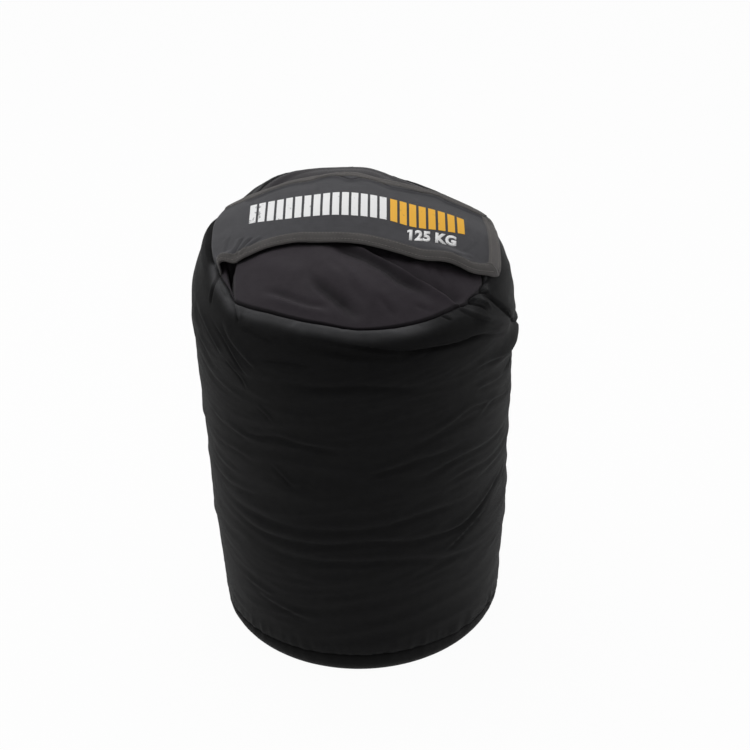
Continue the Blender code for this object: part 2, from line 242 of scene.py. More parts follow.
def profile():
    """The bag's outline as radii and heights, from inside the mouth to the floor."""
    radius = np.linspace(DOME_START, EDGE_RADIUS, 60)
    dome = np.stack([radius, dome_height(radius, 0)], 1)
    turn = np.linspace(EDGE_TURN, 0, 60)[1:]
    inward = (1 - np.cos(turn)) / (1 - math.cos(EDGE_TURN))
    upward = np.sin(turn) / math.sin(EDGE_TURN)
    shoulder_radius = TOP_RADIUS - (TOP_RADIUS - EDGE_RADIUS) * inward
    shoulder_height = SHOULDER_HEIGHT + (EDGE_HEIGHT - SHOULDER_HEIGHT) * upward
    shoulder = np.stack([shoulder_radius, shoulder_height], 1)
    part = np.linspace(1, 0, 120)[1:]
    wall_radius = BASE_RADIUS + (TOP_RADIUS - BASE_RADIUS) * part + 4 * BELLY * part * (1 - part)
    wall = np.stack([wall_radius, CORNER_HEIGHT + (SHOULDER_HEIGHT - CORNER_HEIGHT) * part], 1)
    curl = np.linspace(0, math.pi / 2, 30)[1:]
    corner_radius = BASE_RADIUS - CORNER_WIDTH * (1 - np.cos(curl))
    corner = np.stack([corner_radius, CORNER_HEIGHT * (1 - np.sin(curl))], 1)
    floor_radius = np.linspace(BASE_RADIUS - CORNER_WIDTH, 0, 40)[1:]
    floor = np.stack([floor_radius, np.zeros(39)], 1)
    return np.concatenate([dome, shoulder, wall, corner, floor])


line = profile()
line_steps = np.hypot(*np.diff(line, axis=0).T)
line_length = np.concatenate([[0], np.cumsum(line_steps)])
line_slope = np.gradient(line, line_length, axis=0)
line_normal = np.stack([-line_slope[:, 1], line_slope[:, 0]], 1)
WIDEST = int(np.argmax(line[:, 0]))


def length_at_radius(radius):
    return np.interp(radius, line[: WIDEST + 1, 0], line_length[: WIDEST + 1])


def length_at_height(height):
    return np.interp(-np.asarray(height), -line[:, 1], line_length)


def smooth(share):
    share = np.clip(share, 0, 1)
    return share * share * (3 - 2 * share)


def mound(distance, width):
    return np.exp(-((distance / width) ** 2))


def settle(points):
    """Moves points of the un-leaned bag to where the settled sand leaves them."""
    points = np.array(points, float)
    x, y, z = points.T
    top = smooth((z - 0.43) / 0.153)
    lean = 0.0143 * y / 0.194 - 0.004 * x / 0.194 * smooth(y / 0.05)
    lean -= 0.0105 * smooth(x / 0.06) * smooth((y - 0.075) / 0.05) * smooth((0.20 - x) / 0.05)
    sag = -0.007 * mound(x, 0.10) * mound(y + 0.075, 0.05)
    swell = 0.008 * mound(y - 0.155, 0.040) * smooth((x + 0.19) / 0.05) * smooth((0.10 - x) / 0.08)
    swell += 0.004 * mound(y - 0.130, 0.045) * mound(x + 0.085, 0.045)
    sag -= 0.005 * mound(x - 0.216, 0.012) * mound(y - 0.050, 0.060)
    points[:, 2] = z + top * (lean + sag + swell)
    return points


def grain(points, scale, offset=0.0):
    """Smooth random values from -1 to 1, the same on every run."""
    stretched = np.asarray(points) * np.asarray(scale) + offset
    return np.array([noise.noise(Vector(point)) for point in stretched])


def flat_grain(x, y, scale, offset):
    """The same, drawn on the bag's plan, so that it doesn't change with height."""
    return grain(np.stack([x, y, 0 * x], 1), (*scale, 1), offset)


def smooth_path(points, pieces=6):
    """A smooth curve through a few points."""
    points = np.asarray(points, float)
    padded = np.concatenate([2 * points[:1] - points[1:2], points, 2 * points[-1:] - points[-2:-1]])
    curve = []
    for before, start, end, after in zip(padded, padded[1:], padded[2:], padded[3:]):
        for part in np.arange(pieces) / pieces:
            curve.append(
                0.5 * (2 * start + (end - before) * part
                + (2 * before - 5 * start + 4 * end - after) * part * part
                + (3 * start - before - 3 * end + after) * part**3)
            )
    return np.array(curve + [points[-1]])


def add_fold(points, normals, path, width, ridge, groove, taper=0.28):
    """The height of one fold over points: a ridge on its upper side, a groove on its lower."""
    height = np.zeros(len(points))
    room = 3 * width
    near = np.all((points > path.min(0) - room) & (points < path.max(0) + room), axis=1)
    if not near.any():
        return height
    here, facing_out = points[near], normals[near]
    nearest = np.full(len(here), 1e9)
    side, reach = np.zeros(len(here)), np.zeros(len(here))
    for i, (start, end) in enumerate(zip(path, path[1:])):
        along = end - start
        part = np.clip(((here - start) @ along) / max(along @ along, 1e-12), 0, 1)
        gap = here - start - part[:, None] * along
        distance = np.linalg.norm(gap, axis=1)
        closer = distance < nearest
        nearest = np.where(closer, distance, nearest)
        upward = np.sign((gap * np.cross(facing_out, along)).sum(1))
        side = np.where(closer, upward, side)
        reach = np.where(closer, (i + part) / (len(path) - 1), reach)
    across = side * nearest / width
    fade = smooth(np.minimum(reach, 1 - reach) / taper)
    up = ridge * mound(across - 0.5, 0.66)
    down = groove * mound(across + 0.3, 0.45)
    height[near] = fade * (up - down)
    return height


# The folds of the wall. In millimetres, as in every table below: a fold's width, its ridge's
# height and its groove's depth, then its path as turns in degrees (-90 is the front) and heights.
MM = 0.001
WALL_FOLDS = (
    # the roll under the mouth seam, and the crease and hollows below it
    (13, 4.5, 0, (-116, 590), (-98, 591), (-80, 585), (-60, 577), (-42, 572), (-30, 563), (-20, 545)),
    (8, 2.5, 5.0, (-112, 586), (-90, 584), (-69, 568), (-54, 558), (-45, 551), (-35, 543), (-23, 517),
     (-12, 492)),
    (4.5, 1.0, 4.0, (-64, 562), (-54, 557), (-45, 551), (-38, 546), (-31, 536)),
    (14, 0, 4.5, (-110, 577), (-93, 573), (-86, 568), (-77, 564), (-69, 561), (-61, 562), (-50, 560)),
    (16, 0, 3.0, (-114, 520), (-97, 519), (-83, 523), (-70, 512), (-56, 496)),
    (7, 1.0, 2.0, (-120, 543), (-110, 550), (-97, 552)),
    (5, 1.6, 1.4, (-67, 551), (-61, 552), (-57, 557)),
    # the gathers at the seam's right end, the crease that runs from them, and the ear
    (5.4, 0.2, 6.0, (-31, 593), (-25, 580), (-21.6, 563), (-17, 540), (-10, 512), (-1, 484), (7, 464),
     (14, 450)),
    (18, 3.0, 0, (-24, 566), (-14, 526), (-4, 498), (6, 478)),
    (15, 4.0, 0, (-38, 568), (-30, 545), (-20, 516), (-10, 486)),
    (5, 2.6, 1.8, (-42, 592), (-39, 581), (-33, 562), (-26, 545)),
    (5, 2.4, 1.2, (-37, 589), (-34, 588), (-30, 581), (-28, 573), (-27, 560)),
    (3.4, 1.2, 5.0, (-28, 590), (-25, 592), (-22, 591), (-18, 590)),
    (3.6, 0, 4.2, (-36, 589), (-31, 577), (-29, 567)),
    (4.2, 1.6, 7.0, (-44, 595), (-39, 592), (-35, 588), (-33, 584)),
    (4.2, 1.8, 7.0, (-34, 596), (-29, 591), (-25, 585), (-23, 580)),
    (3.2, 0.8, 5.0, (-37, 594), (-34, 590), (-32, 585)),
    (3.2, 0.8, 3.0, (-50, 592), (-48, 587), (-46, 581)),
    (16, 9.0, 0, (-32, 474), (-14, 463), (4, 458), (24, 466)),
    (6, 1.0, 4.0, (-24, 444), (-8, 440), (8, 441), (20, 445)),
    (14, 0.8, 0, (-16, 575), (-2, 560), (12, 548), (26, 545)),
    # the left notch and the slanting creases below it
    (7, 2.5, 3.0, (-162, 604), (-154, 597), (-146, 594), (-138, 593)),
    (3.6, 0.8, 5.5, (-149, 569), (-152, 583), (-154.5, 593), (-158, 600)),
    (3.6, 1.0, 3.6, (-138, 594), (-135, 587.5), (-133, 582), (-131, 578)),
    (4, 2.2, 0.5, (-135, 593), (-133, 588), (-131, 581)),
    (5, 0.9, 2.2, (-149, 562), (-141, 553), (-137, 546), (-133, 535), (-128, 516), (-124, 502)),
    (7, 2.2, 1.5, (-160, 552), (-150, 543), (-143, 531), (-137, 516)),
    (4.5, 0.8, 1.5, (-136, 515), (-133, 509), (-128, 495), (-125, 478)),
    (9, 2.2, 1.5, (-141, 570), (-134, 552), (-127, 538), (-119, 520)),
    (9, 1.5, 2.0, (-131, 577), (-121, 576), (-112, 572)),
    (13, 2.0, 2.0, (-166, 560), (-160, 530), (-152, 505), (-140, 490)),
    (14, 1.6, 1.8, (-176, 520), (-164, 488), (-150, 470), (-136, 462)),
    (4, 1.3, 1.5, (-122, 456), (-119, 449), (-115, 436)),
    # the long arcs round the body, where the sand has slumped
    (12, 0.9, 2.6, (-156, 258), (-139, 246), (-124, 238), (-110, 240), (-95, 244), (-80, 250),
     (-65, 240), (-50, 238), (-38, 240)),
    (12, 0.6, 2.2, (-156, 278), (-138, 266), (-124, 264), (-110, 264), (-95, 270), (-80, 273),
     (-60, 282), (-42, 277), (-28, 284)),
    (13, 0.8, 1.8, (-142, 226), (-123, 216), (-105, 214), (-88, 216), (-72, 213), (-60, 203),
     (-52, 192), (-36, 180), (-18, 166)),
    (8, 1.6, 3.8, (-60, 238), (-50, 233), (-41, 234), (-33, 243), (-24, 256), (-12, 266), (2, 284)),
    (6, 1.8, 2.4, (-54, 201), (-47, 208), (-40, 219), (-34, 226), (-25, 236)),
    (10, 1.5, 1.6, (-166, 300), (-150, 290), (-134, 294), (-120, 304)),
    (8, 0.9, 2.4, (-132, 399), (-124, 403), (-114, 413), (-105, 411), (-96, 408), (-84, 405)),
    (7, 1.4, 1.6, (-158, 402), (-145, 393), (-134, 392), (-124, 388)),
    (7, 1.3, 1.6, (-158, 356), (-145, 355), (-134, 359), (-124, 358)),
    (7, 1.2, 1.5, (-156, 322), (-145, 317), (-134, 318)),
    (4.5, 1.0, 1.6, (-119, 366), (-113, 348), (-109, 336), (-101, 340)),
    (8, 1.3, 1.9, (-133, 114), (-126, 110), (-114, 102), (-104, 96)),
    (7, 1.0, 1.2, (-140, 128), (-130, 122), (-118, 116)),
    # the tension folds on the right
    (11, 0.7, 1.9, (-82, 366), (-74, 370), (-62, 378), (-53, 376), (-42, 378)),
    (9, 1.1, 2.6, (-64, 344), (-55, 352), (-44, 356), (-32, 350), (-20, 345), (-8, 347)),
    (11, 0.6, 1.7, (-70, 400), (-60, 407), (-53, 413), (-42, 416), (-30, 410)),
    (7, 1.5, 1.8, (-58, 414), (-50, 420), (-40, 428), (-29, 416), (-16, 408)),
    (7, 1.8, 2.0, (-37, 404), (-27, 412), (-14, 396), (0, 394)),
    (8, 1.8, 2.0, (-38, 452), (-31, 447), (-15, 431), (0, 428)),
    (8, 1.8, 2.0, (-38, 492), (-29, 484), (-15, 469)),
    (10, 1.3, 1.5, (-56, 322), (-42, 324), (-28, 318), (-10, 316), (4, 320)),
    (9, 1.6, 1.8, (-40, 300), (-26, 300), (-10, 296), (6, 302), (20, 298)),
    (8, 1.6, 2.0, (-18, 238), (-4, 240), (10, 246), (24, 240)),
    (8, 1.3, 1.6, (-26, 206), (-10, 200), (6, 206), (20, 200)),
    (9, 1.2, 1.4, (-30, 150), (-14, 146), (2, 152), (16, 148)),
    (9, 1.8, 2.0, (-14, 372), (2, 366), (16, 370)),
    # the left side and the back
    (11, 1.6, 1.8, (-196, 430), (-182, 418), (-168, 424)),
    (12, 1.6, 1.8, (-200, 352), (-186, 340), (-170, 344), (-158, 352)),
    (11, 1.4, 1.6, (-194, 270), (-180, 262), (-166, 268)),
    (11, 1.3, 1.5, (-190, 180), (-176, 172), (-160, 178)),
    (13, 2.0, 2.2, (30, 500), (48, 488), (66, 492), (84, 484)),
    (13, 2.0, 2.4, (96, 506), (114, 492), (134, 490), (150, 500)),
    (12, 1.6, 1.8, (36, 400), (56, 388), (78, 396)),
    (12, 1.6, 1.8, (100, 410), (122, 398), (146, 408)),
    (12, 1.5, 1.7, (40, 300), (60, 288), (84, 292)),
    (12, 1.5, 1.7, (94, 320), (116, 306), (140, 312), (156, 322)),
    (11, 1.3, 1.6, (44, 200), (66, 190), (88, 196)),
    (11, 1.3, 1.6, (98, 222), (120, 210), (142, 216)),
    (12, 2.5, 2.0, (30, 575), (46, 566), (62, 572)),
    (12, 2.5, 2.0, (112, 572), (130, 564), (150, 572)),
)


def profile_points(turns, lengths, inset=0.0):
    """Points and outward normals of the un-leaned bag, before its folds."""
    radius = np.interp(lengths, line_length, line[:, 0])
    height = np.interp(lengths, line_length, line[:, 1])
    out = np.interp(lengths, line_length, line_normal[:, 0])
    up = np.interp(lengths, line_length, line_normal[:, 1])
    size = np.hypot(out, up)
    cos, sin = np.cos(turns), np.sin(turns)
    normals = np.stack([out / size * cos, out / size * sin, up / size], 1)
    points = np.stack([radius * cos, radius * sin, height], 1) - inset * normals
    return points, normals


def fold_path(stops):
    turns = np.radians([turn for turn, _ in stops])
    points, _ = profile_points(turns, length_at_height([MM * height for _, height in stops]))
    return smooth_path(points)


def read_folds(table, path_of, *taper):
    return [
        (path_of(stops), MM * width, MM * ridge, MM * groove, *taper)
        for width, ridge, groove, *stops in table
    ]


wall_paths = read_folds(WALL_FOLDS, fold_path)

# The mouth's outline as turns and radii: nearly as wide as the top at the front, and an
# oval at the sides and the back, where the flap hides it.
MOUTH_OUTLINE = (
    (-180, 158), (-170, 170), (-162, 186), (-154, 189.5), (-146, 190.5), (-138, 197.2), (-120, 188),
    (-109, 187), (-96, 189), (-84, 194.5), (-68, 197), (-53, 199), (-41, 199.3), (-38, 203.5),
    (-34, 200), (-27, 201), (-23, 199), (-19, 192), (-14, 173), (-8, 162), (0, 157), (20, 158),
    (32, 166), (45, 178), (58, 187), (70, 190), (90, 188), (112, 190), (125, 189), (137, 183),
    (150, 168), (160, 159), (180, 158),
)
mouth_turns = np.arange(-720, 1081)
mouth_radii = MM * np.interp(mouth_turns / 2, *np.array(MOUTH_OUTLINE).T, period=360)
window = mound(np.arange(-8, 9), 4.0)
mouth_radii = np.convolve(mouth_radii, window / window.sum(), mode="same")


def mouth_radius(turns):
    degrees = np.degrees(turns) * 2
    return np.interp((degrees + 360) % 720 - 360, mouth_turns, mouth_radii)


def mouth_length(turns):
    """Where the mouth seam lies along the profile."""
    return length_at_radius(mouth_radius(turns))


# The line where the flap's left end is sewn into the shoulder, drawn in by its stitches: its
# places to the back and to the left.
FLAP_LEFT = (
    (-76, -172), (-64, -178), (-50, -185), (-34, -190), (-13, -194), (10, -196), (30, -196.5),
    (50, -193), (70, -185), (85, -178),
)
seam_back, seam_left = MM * np.array(FLAP_LEFT).T
flap_seam = smooth_path(
    profile_points(np.arctan2(seam_back, seam_left), length_at_radius(np.hypot(seam_back, seam_left)))[0]
)

# The height of the base seam as turns and heights: the sand pushes the seam up in front.
FOOT_LINE = (
    (-180, 22), (-156, 26.5), (-126, 34), (-107, 35.5), (-85, 38), (-60, 37), (-30, 32), (0, 28.5),
    (90, 28.5), (180, 22),
)


def foot_height(turns):
    wander = flat_grain(np.cos(turns), np.sin(turns), (3.1, 3.1), 6.6)
    return MM * np.interp(np.degrees(turns), *np.array(FOOT_LINE).T, period=360) + 0.0016 * wander


def foot_length(turns):
    """Where the base seam lies along the profile."""
    return length_at_height(foot_height(turns))


def relief(turns, lengths):
    """How far the sewn cloth stands out from the plain profile."""
    points, normals = profile_points(turns, lengths)
    height = sum(add_fold(points, normals, *fold) for fold in wall_paths)
    to_mouth = lengths - mouth_length(turns)
    to_foot = foot_length(turns) - lengths
    x, y, z = points.T
    slant = np.stack([x, y, z + 0.18 * x * y / TOP_RADIUS], 1)
    patches = smooth(0.5 + 1.2 * grain(points, (5, 5, 7), 3.1))
    crumple = 1 - np.abs(grain(slant, (7, 7, 34), 7.7)) * 2.6
    fine = 1 - np.abs(grain(slant, (13, 13, 62), 1.3)) * 2.6
    broad = grain(points, (4.5, 4.5, 9), 5.2)
    body = smooth(to_mouth / 0.05) * smooth(to_foot / 0.02)
    height += body * (0.0011 * patches * crumple + 0.0007 * (1 - patches) * fine + 0.0018 * broad)
    height += 0.0028 * mound(z - 0.185, 0.060)
    gathers = flat_grain(x, y, (70, 70), 2.2) + 0.6 * flat_grain(x, y, (130, 130), 8.8)
    pucker = np.maximum(gathers, 0) ** 1.5
    height -= 0.0042 * pucker * mound(to_mouth - 0.002, 0.008) * smooth(to_mouth / 0.002)
    height += 0.0010 * gathers * mound(to_mouth - 0.009, 0.012) * smooth(to_mouth / 0.004)
    height += 0.0019 * gathers * mound(to_foot - 0.004, 0.016)
    under_flap = smooth((0.085 - np.abs(y - 0.010)) / 0.02) * smooth((z - EDGE_HEIGHT) / 0.004 + 1)
    height *= 1 - 0.85 * under_flap
    height += add_fold(points, normals, flap_seam, 4.0 * MM, 1.5 * MM, 5.0 * MM)
    height += add_fold(points, normals, flap_seam, 15 * MM, 5.0 * MM, 0)
    height += 0.0012 * mound(to_mouth - 0.0050, 0.0032)
    height -= 0.0085 * mound(np.maximum(to_mouth, 0), 0.0012)
    seam_depth = 0.0020 - 0.0014 * smooth((np.degrees(turns % math.tau) - 280) / 30)
    height -= seam_depth * mound(to_foot, 0.0042)
    return height


def bag_skin(turns, lengths, inset=0.0, follow=1.0):
    """Points of the bag as it stands, its cloth's outside or a layer under it."""
    height = relief(turns, lengths) * follow
    points, normals = profile_points(turns, lengths)
    return settle(points + (height - inset)[:, None] * normals), height


BAG_MIDDLE = Vector((0, 0, 0.3))
WELD_DISTANCE = 0.00001


def cloth_piece(name, columns, rows, place, finish, size, thickness=0.0, closed=True):
    """A piece of cloth: place turns shares across and down into points and a wear value."""
    shape = bmesh.new()
    flat = shape.loops.layers.uv.new("cloth")
    bmesh.ops.create_grid(shape, x_segments=columns, y_segments=rows, size=1, calc_uvs=True)
    shares = (np.array([vert.co[:2] for vert in shape.verts]) + 1) / 2
    points, wear = place(shares[:, 0], shares[:, 1])
    wear_and_shade = shape.verts.layers.float.new("wear")
    for vert, point, value in zip(shape.verts, points, wear):
        vert.co = point
        vert[wear_and_shade] = value
    for face in shape.faces:
        for loop in face.loops:
            loop[flat].uv = (loop[flat].uv.x * size[0], loop[flat].uv.y * size[1])
    bmesh.ops.remove_doubles(shape, verts=shape.verts, dist=WELD_DISTANCE)
    if closed:
        bmesh.ops.recalc_face_normals(shape, faces=shape.faces)
    facing_out = sum(
        face.normal.dot(face.calc_center_median() - BAG_MIDDLE) * face.calc_area() for face in shape.faces
    )
    if facing_out <= 0:
        bmesh.ops.reverse_faces(shape, faces=shape.faces)
    return add_piece(name, shape, finish, thickness)


def woven(name, colour, pale, thread, roughness, gloss, sheen, weave_depth, usual, contrast):
    """A woven cloth: a plain weave of fine threads, with slubs and lint, and the tone of the wear value,
    which holds painted highlight and painted shade as well as wear.
    """
    cloth = Finish(name)
    flat = cloth.node("UVMap", {"uv_map": "cloth"})
    across, along = cloth.split(flat)
    warp = (across * (math.tau / thread)).math("SINE")
    weft = (along * (math.tau / thread)).math("SINE")
    weave = warp * weft
    place = cloth.node("TexCoord", out=3)
    slub_place = cloth.node("Mapping", {}, {"Vector": flat, "Scale": (30, 900, 1)})
    slubs = cloth.noise(slub_place, 1, 2)
    blotches = cloth.noise(place, 9, 4)
    mottle = cloth.noise(place, 85, 3)
    specks = cloth.noise(place, 420, 1)
    lint = cloth.node("ValToRGB", {"stops": ((0.70, 0), (0.80, 1))}, {0: specks})
    # The wear value holds painted light as well as wear: paler on raised folds and edges, and painted
    # shade in creases, seams and under the flap.
    wear_and_shade = cloth.node("Attribute", {"attribute_name": "wear"}, out=2)
    tone = 0.35 * (blotches - 0.5) + 0.22 * (slubs - 0.5) + 0.05 * weave + 0.35 * lint * blotches
    tone = usual + contrast * (tone + 0.34 * (mottle - 0.5)) + wear_and_shade
    cloth.cover(tone, colour, pale, 0.5 * weave + 0.35 * slubs, weave_depth, 0.0006)
    cloth.set(Roughness=roughness + 0.10 * (blotches - 0.5), Specular_IOR_Level=gloss)
    cloth.set(Sheen_Weight=sheen, Sheen_Roughness=0.45)
    return cloth


def fold_shade(height):
    """The tone that a fold gives the cloth: paler on raised folds, and painted shade down in its creases.
    """
    return 2.2 * height + 5 * np.minimum(height, 0)


def bag_layer(name, columns, rows, lengths_of, finish, inset, thickness, follow=1.0, painted_shade=0.0):
    """A layer that goes right round the bag, between two lines given by lengths_of."""

    def place(around, down):
        turns = math.pi / 2 + around * math.tau
        first, last = lengths_of(turns)
        points, height = bag_skin(turns, first + (last - first) * down, inset, follow)
        # A fixed amount taken off the tone here is painted shade.
        return points, fold_shade(height) - painted_shade

    first, last = lengths_of(np.zeros(1))
    size = (math.tau * BASE_RADIUS, float(last[0] - first[0]))
    piece = cloth_piece(name, columns, rows, place, finish, size, thickness)
    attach(piece, "bag")
    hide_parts(name)
    return piece


# Base panel. The round bottom of the bag, cut from the same coated nylon as the wall. The
# sand's weight curls its edge up to the base seam, where it is gathered a little.
shell_cloth = woven(
    "shell_cloth", (0.0012, 0.0012, 0.0013), (0.095, 0.095, 0.099), 0.0011, 0.64, 0.07, 0.02, 0.40,
    usual=0.054, contrast=0.15
)
WALL_CLOTH = 0.003
SEAM_GAP = 0.0002


def base_lengths(turns):
    return foot_length(turns) + SEAM_GAP, np.full(len(turns), line_length[-1])


# The base panel's tone is lowered as painted shade, for the edge that curls under, away from the lamps.
base_panel = bag_layer(
    "base_panel", 300, 60, base_lengths, shell_cloth, 0, WALL_CLOTH, painted_shade=0.046
)

# Side wall. One wide piece of coated nylon joined at the back by an upright felled seam,
# gathered a little into the mouth seam above and the base seam below. The sand fills it
# tight, so its creases are shallow, but for the slack roll of cloth under the mouth.
WALL_COLUMNS = 480
WALL_ROWS = 180
FRONT_SHARE = 0.35
WALL_ROW_SHARES = ((0, 0), (0.08, 0.007), (0.16, 0.035), (0.42, 0.25), (0.95, 0.985), (1, 1))
# Sets where the painted highlight under the mouth seam is brightest: near the front.
LIP_LIGHT_TURN = math.radians(85)


def wall_place(around, down):
    turns = math.pi / 2 + around * math.tau + FRONT_SHARE * np.sin(around * math.tau)
    first = mouth_length(turns)
    last = foot_length(turns)
    part = np.interp(down, *np.array(WALL_ROW_SHARES).T)
    points, height = bag_skin(turns, first + (last - first) * part)
    to_mouth = (last - first) * part
    # Painted highlight along the rolled cloth just under the mouth seam, faint at the back right, with
    # painted shade in the seam itself and in the crease below the roll.
    lip_light_width = 0.0068 + 0.0015 * np.cos(turns + LIP_LIGHT_TURN)
    lip_light_and_shade = (0.66 + 0.14 * np.cos(turns + LIP_LIGHT_TURN)) * mound(to_mouth - 0.0065, lip_light_width)
    lip_light_and_shade *= 0.25 + 0.75 * smooth((310 - np.degrees(turns % math.tau)) / 16)
    lip_light_and_shade -= 0.032 * mound(to_mouth - 0.026, 0.012) + 0.1 * mound(to_mouth, 0.0018)
    return points, fold_shade(height) + lip_light_and_shade * (1 + 0.3 * grain(points, 34, 2.6))


side_wall = cloth_piece(
    "side_wall", WALL_COLUMNS, WALL_ROWS, wall_place, shell_cloth, (1.34, 0.60), WALL_CLOTH
)
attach(side_wall, "bag")
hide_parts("side_wall")


# Felled seam. The wall's upright edges are folded into each other at the back and sewn
# down flat with two rows of thread.
SEAM_TURN = math.radians(94.5)
SEAM_WIDTH = 0.011
SEAM_ROWS = (0.24, 0.76)


def seam_place(across, down):
    turns = SEAM_TURN + (across - 0.5) * SEAM_WIDTH / TOP_RADIUS
    first = mouth_length(turns) + 0.004
    last = foot_length(turns) - 0.003
    rounded = 0.0011 * smooth(np.minimum(across, 1 - across) / 0.18) - 0.0006
    points, height = bag_skin(turns, first + (last - first) * down, -rounded)
    return points, 2.2 * height + 0.014 * smooth(1 - np.minimum(across, 1 - across) / 0.2)


back_seam = cloth_piece(
    "back_seam", 12, 160, seam_place, shell_cloth, (SEAM_WIDTH, 0.60), 0.0008
)
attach(back_seam, "bag")


def thread(name, colour):
    """Bonded sewing thread: a smooth, slightly shiny twist."""
    twist = Finish(name)
    place = twist.node("TexCoord", out=3)
    strands = twist.noise(place, 1500, 1)
    dark, pale = [[part * share for part in colour] for share in (0.7, 1.3)]
    twist.cover(strands, dark, pale, strands, 0.3, 0.0003, Roughness=0.5, Specular_IOR_Level=0.3)
    return twist


STITCH_LENGTH = 0.0034
STITCH_RADIUS = 0.00042
STITCH_PITCH = 0.0046


def stitches(name, rows, finish):
    """Rows of stitches: each row is an array of points, in order along the seam."""
    shape = bmesh.new()
    for points in rows:
        steps = np.linalg.norm(np.diff(points, axis=0), axis=1)
        along = np.concatenate([[0], np.cumsum(steps)])
        count = int(along[-1] / STITCH_PITCH)
        for middle in (np.arange(count) + 0.5) * along[-1] / count:
            ends = [
                Vector([np.interp(middle + half, along, points[:, axis]) for axis in range(3)])
                for half in (-STITCH_LENGTH / 2, STITCH_LENGTH / 2)
            ]
            way = ends[1] - ends[0]
            turn = way.to_track_quat("Z", "Y").to_matrix().to_4x4()
            sizes = Matrix.Diagonal((STITCH_RADIUS, STITCH_RADIUS, way.length / 2, 1))
            put = Matrix.Translation((ends[0] + ends[1]) / 2) @ turn @ sizes
            bmesh.ops.create_uvsphere(shape, u_segments=6, v_segments=4, radius=1, matrix=put)
    return add_piece(name, shape, finish)


black_thread = thread("black_thread", (0.016, 0.016, 0.016))
seam_rows = []
for share in SEAM_ROWS:
    down = np.linspace(0, 1, 240)
    points, _ = seam_place(np.full(len(down), share), down)
    seam_rows.append(points + np.array([0, 0.0002, 0]))
back_stitches = stitches("back_stitches", seam_rows, black_thread)
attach(back_stitches, "bag")

# The tapes inside: webbing that binds the raw edges of the seams, and a second layer of
# nylon across the base.
def ribbed(name, colour, pale, rib):
    """Woven webbing: close ribs across it, its tone moved by the wear value, with its painted shade and
    highlight.
    """
    tape = Finish(name)
    along, across = tape.split(tape.node("UVMap", {"uv_map": "cloth"}))
    ribs = (along * (math.tau / rib)).math("SINE")
    ends = (across * (math.tau / (2 * rib))).math("SINE")
    place = tape.node("TexCoord", out=3)
    patches = tape.noise(place, 38, 4)
    fuzz = tape.noise(place, 700, 2)
    wear_and_shade = tape.node("Attribute", {"attribute_name": "wear"}, out=2)
    tone = 0.42 + 0.5 * (patches - 0.5) + 0.16 * ribs + 0.3 * (fuzz - 0.5) + wear_and_shade
    tape.cover(tone, colour, pale, 0.6 * ribs + 0.25 * ends + 0.3 * fuzz, 0.5, 0.0004)
    tape.set(Roughness=0.78, Specular_IOR_Level=0.2, Sheen_Weight=0.1, Sheen_Roughness=0.5)
    return tape


tape_cloth = ribbed("tape_cloth", (0.010, 0.010, 0.010), (0.03, 0.03, 0.03), 0.0012)
LAYER_DEPTH = WALL_CLOTH + 0.0003
THIN_CLOTH = 0.0012


def base_tape_lengths(turns):
    return foot_length(turns) - 0.012, foot_length(turns) + 0.010


def mouth_tape_lengths(turns):
    return mouth_length(turns) + 0.0006, mouth_length(turns) + 0.0106


def inner_layer_lengths(turns):
    first = np.full(len(turns), length_at_height(0.0125))
    return first, np.full(len(turns), line_length[-1])


INNER_TAPES = (("base_seam_tape", 10, base_tape_lengths), ("mouth_seam_tape", 6, mouth_tape_lengths))
for tape_name, rows, tape_lengths in INNER_TAPES:
    bag_layer(tape_name, 240, rows, tape_lengths, tape_cloth, LAYER_DEPTH, THIN_CLOTH)
base_inner_layer = bag_layer(
    "base_inner_layer", 160, 30, inner_layer_lengths, shell_cloth, LAYER_DEPTH, THIN_CLOTH
)


def side_tape_place(across, down):
    turns = math.pi / 2 + across * math.tau / 40
    first = np.full(len(turns), length_at_height(SHOULDER_HEIGHT))
    last = np.full(len(turns), length_at_height(0.062))
    points, height = bag_skin(turns, first + (last - first) * down, LAYER_DEPTH)
    return points, 0 * height


side_seam_tape = cloth_piece(
    "side_seam_tape", 8, 90, side_tape_place, tape_cloth, (0.034, 0.46), THIN_CLOTH
)
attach(side_seam_tape, "bag")
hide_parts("side_seam_tape")

# Liner sack and sand. The loose dry sand is held in an inner sack of thin cloth, which it
# presses flat against the wall.
LINER_DEPTH = LAYER_DEPTH + 0.0030
SAND_DEPTH = LINER_DEPTH + THIN_CLOTH + 0.0015
INNER_FOLLOW = 0.5
SAND_CROWN = 0.606
CROWN_SHARE = 0.2

sleeve_cloth = woven(
    "sleeve_cloth", (0.006, 0.0048, 0.0062), (0.050, 0.041, 0.050), 0.0008, 0.55, 0.10, 0.10, 0.22,
    usual=0.44, contrast=0.7
)


def liner_lengths(turns):
    return mouth_length(turns) + 0.004, np.full(len(turns), line_length[-1])


liner_sack = bag_layer(
    "liner_sack", 180, 130, liner_lengths, sleeve_cloth, LINER_DEPTH, THIN_CLOTH,
    INNER_FOLLOW
)


def sand_finish():
    """Dry building sand: fine sharp grains of buff, brown and grey."""
    grains = Finish("dry_sand")
    place = grains.node("TexCoord", out=3)
    cells = grains.node("TexVoronoi", {}, {"Vector": place, "Scale": 900})
    tone = 0.55 * grains.noise(place, 600, 2) + 0.35 * grains.noise(place, 14, 3) + 0.3 * cells
    buff, grey_brown = (0.62, 0.50, 0.34), (0.20, 0.13, 0.07)
    grains.cover(tone, grey_brown, buff, cells, 0.6, 0.001, Roughness=0.95)
    return grains


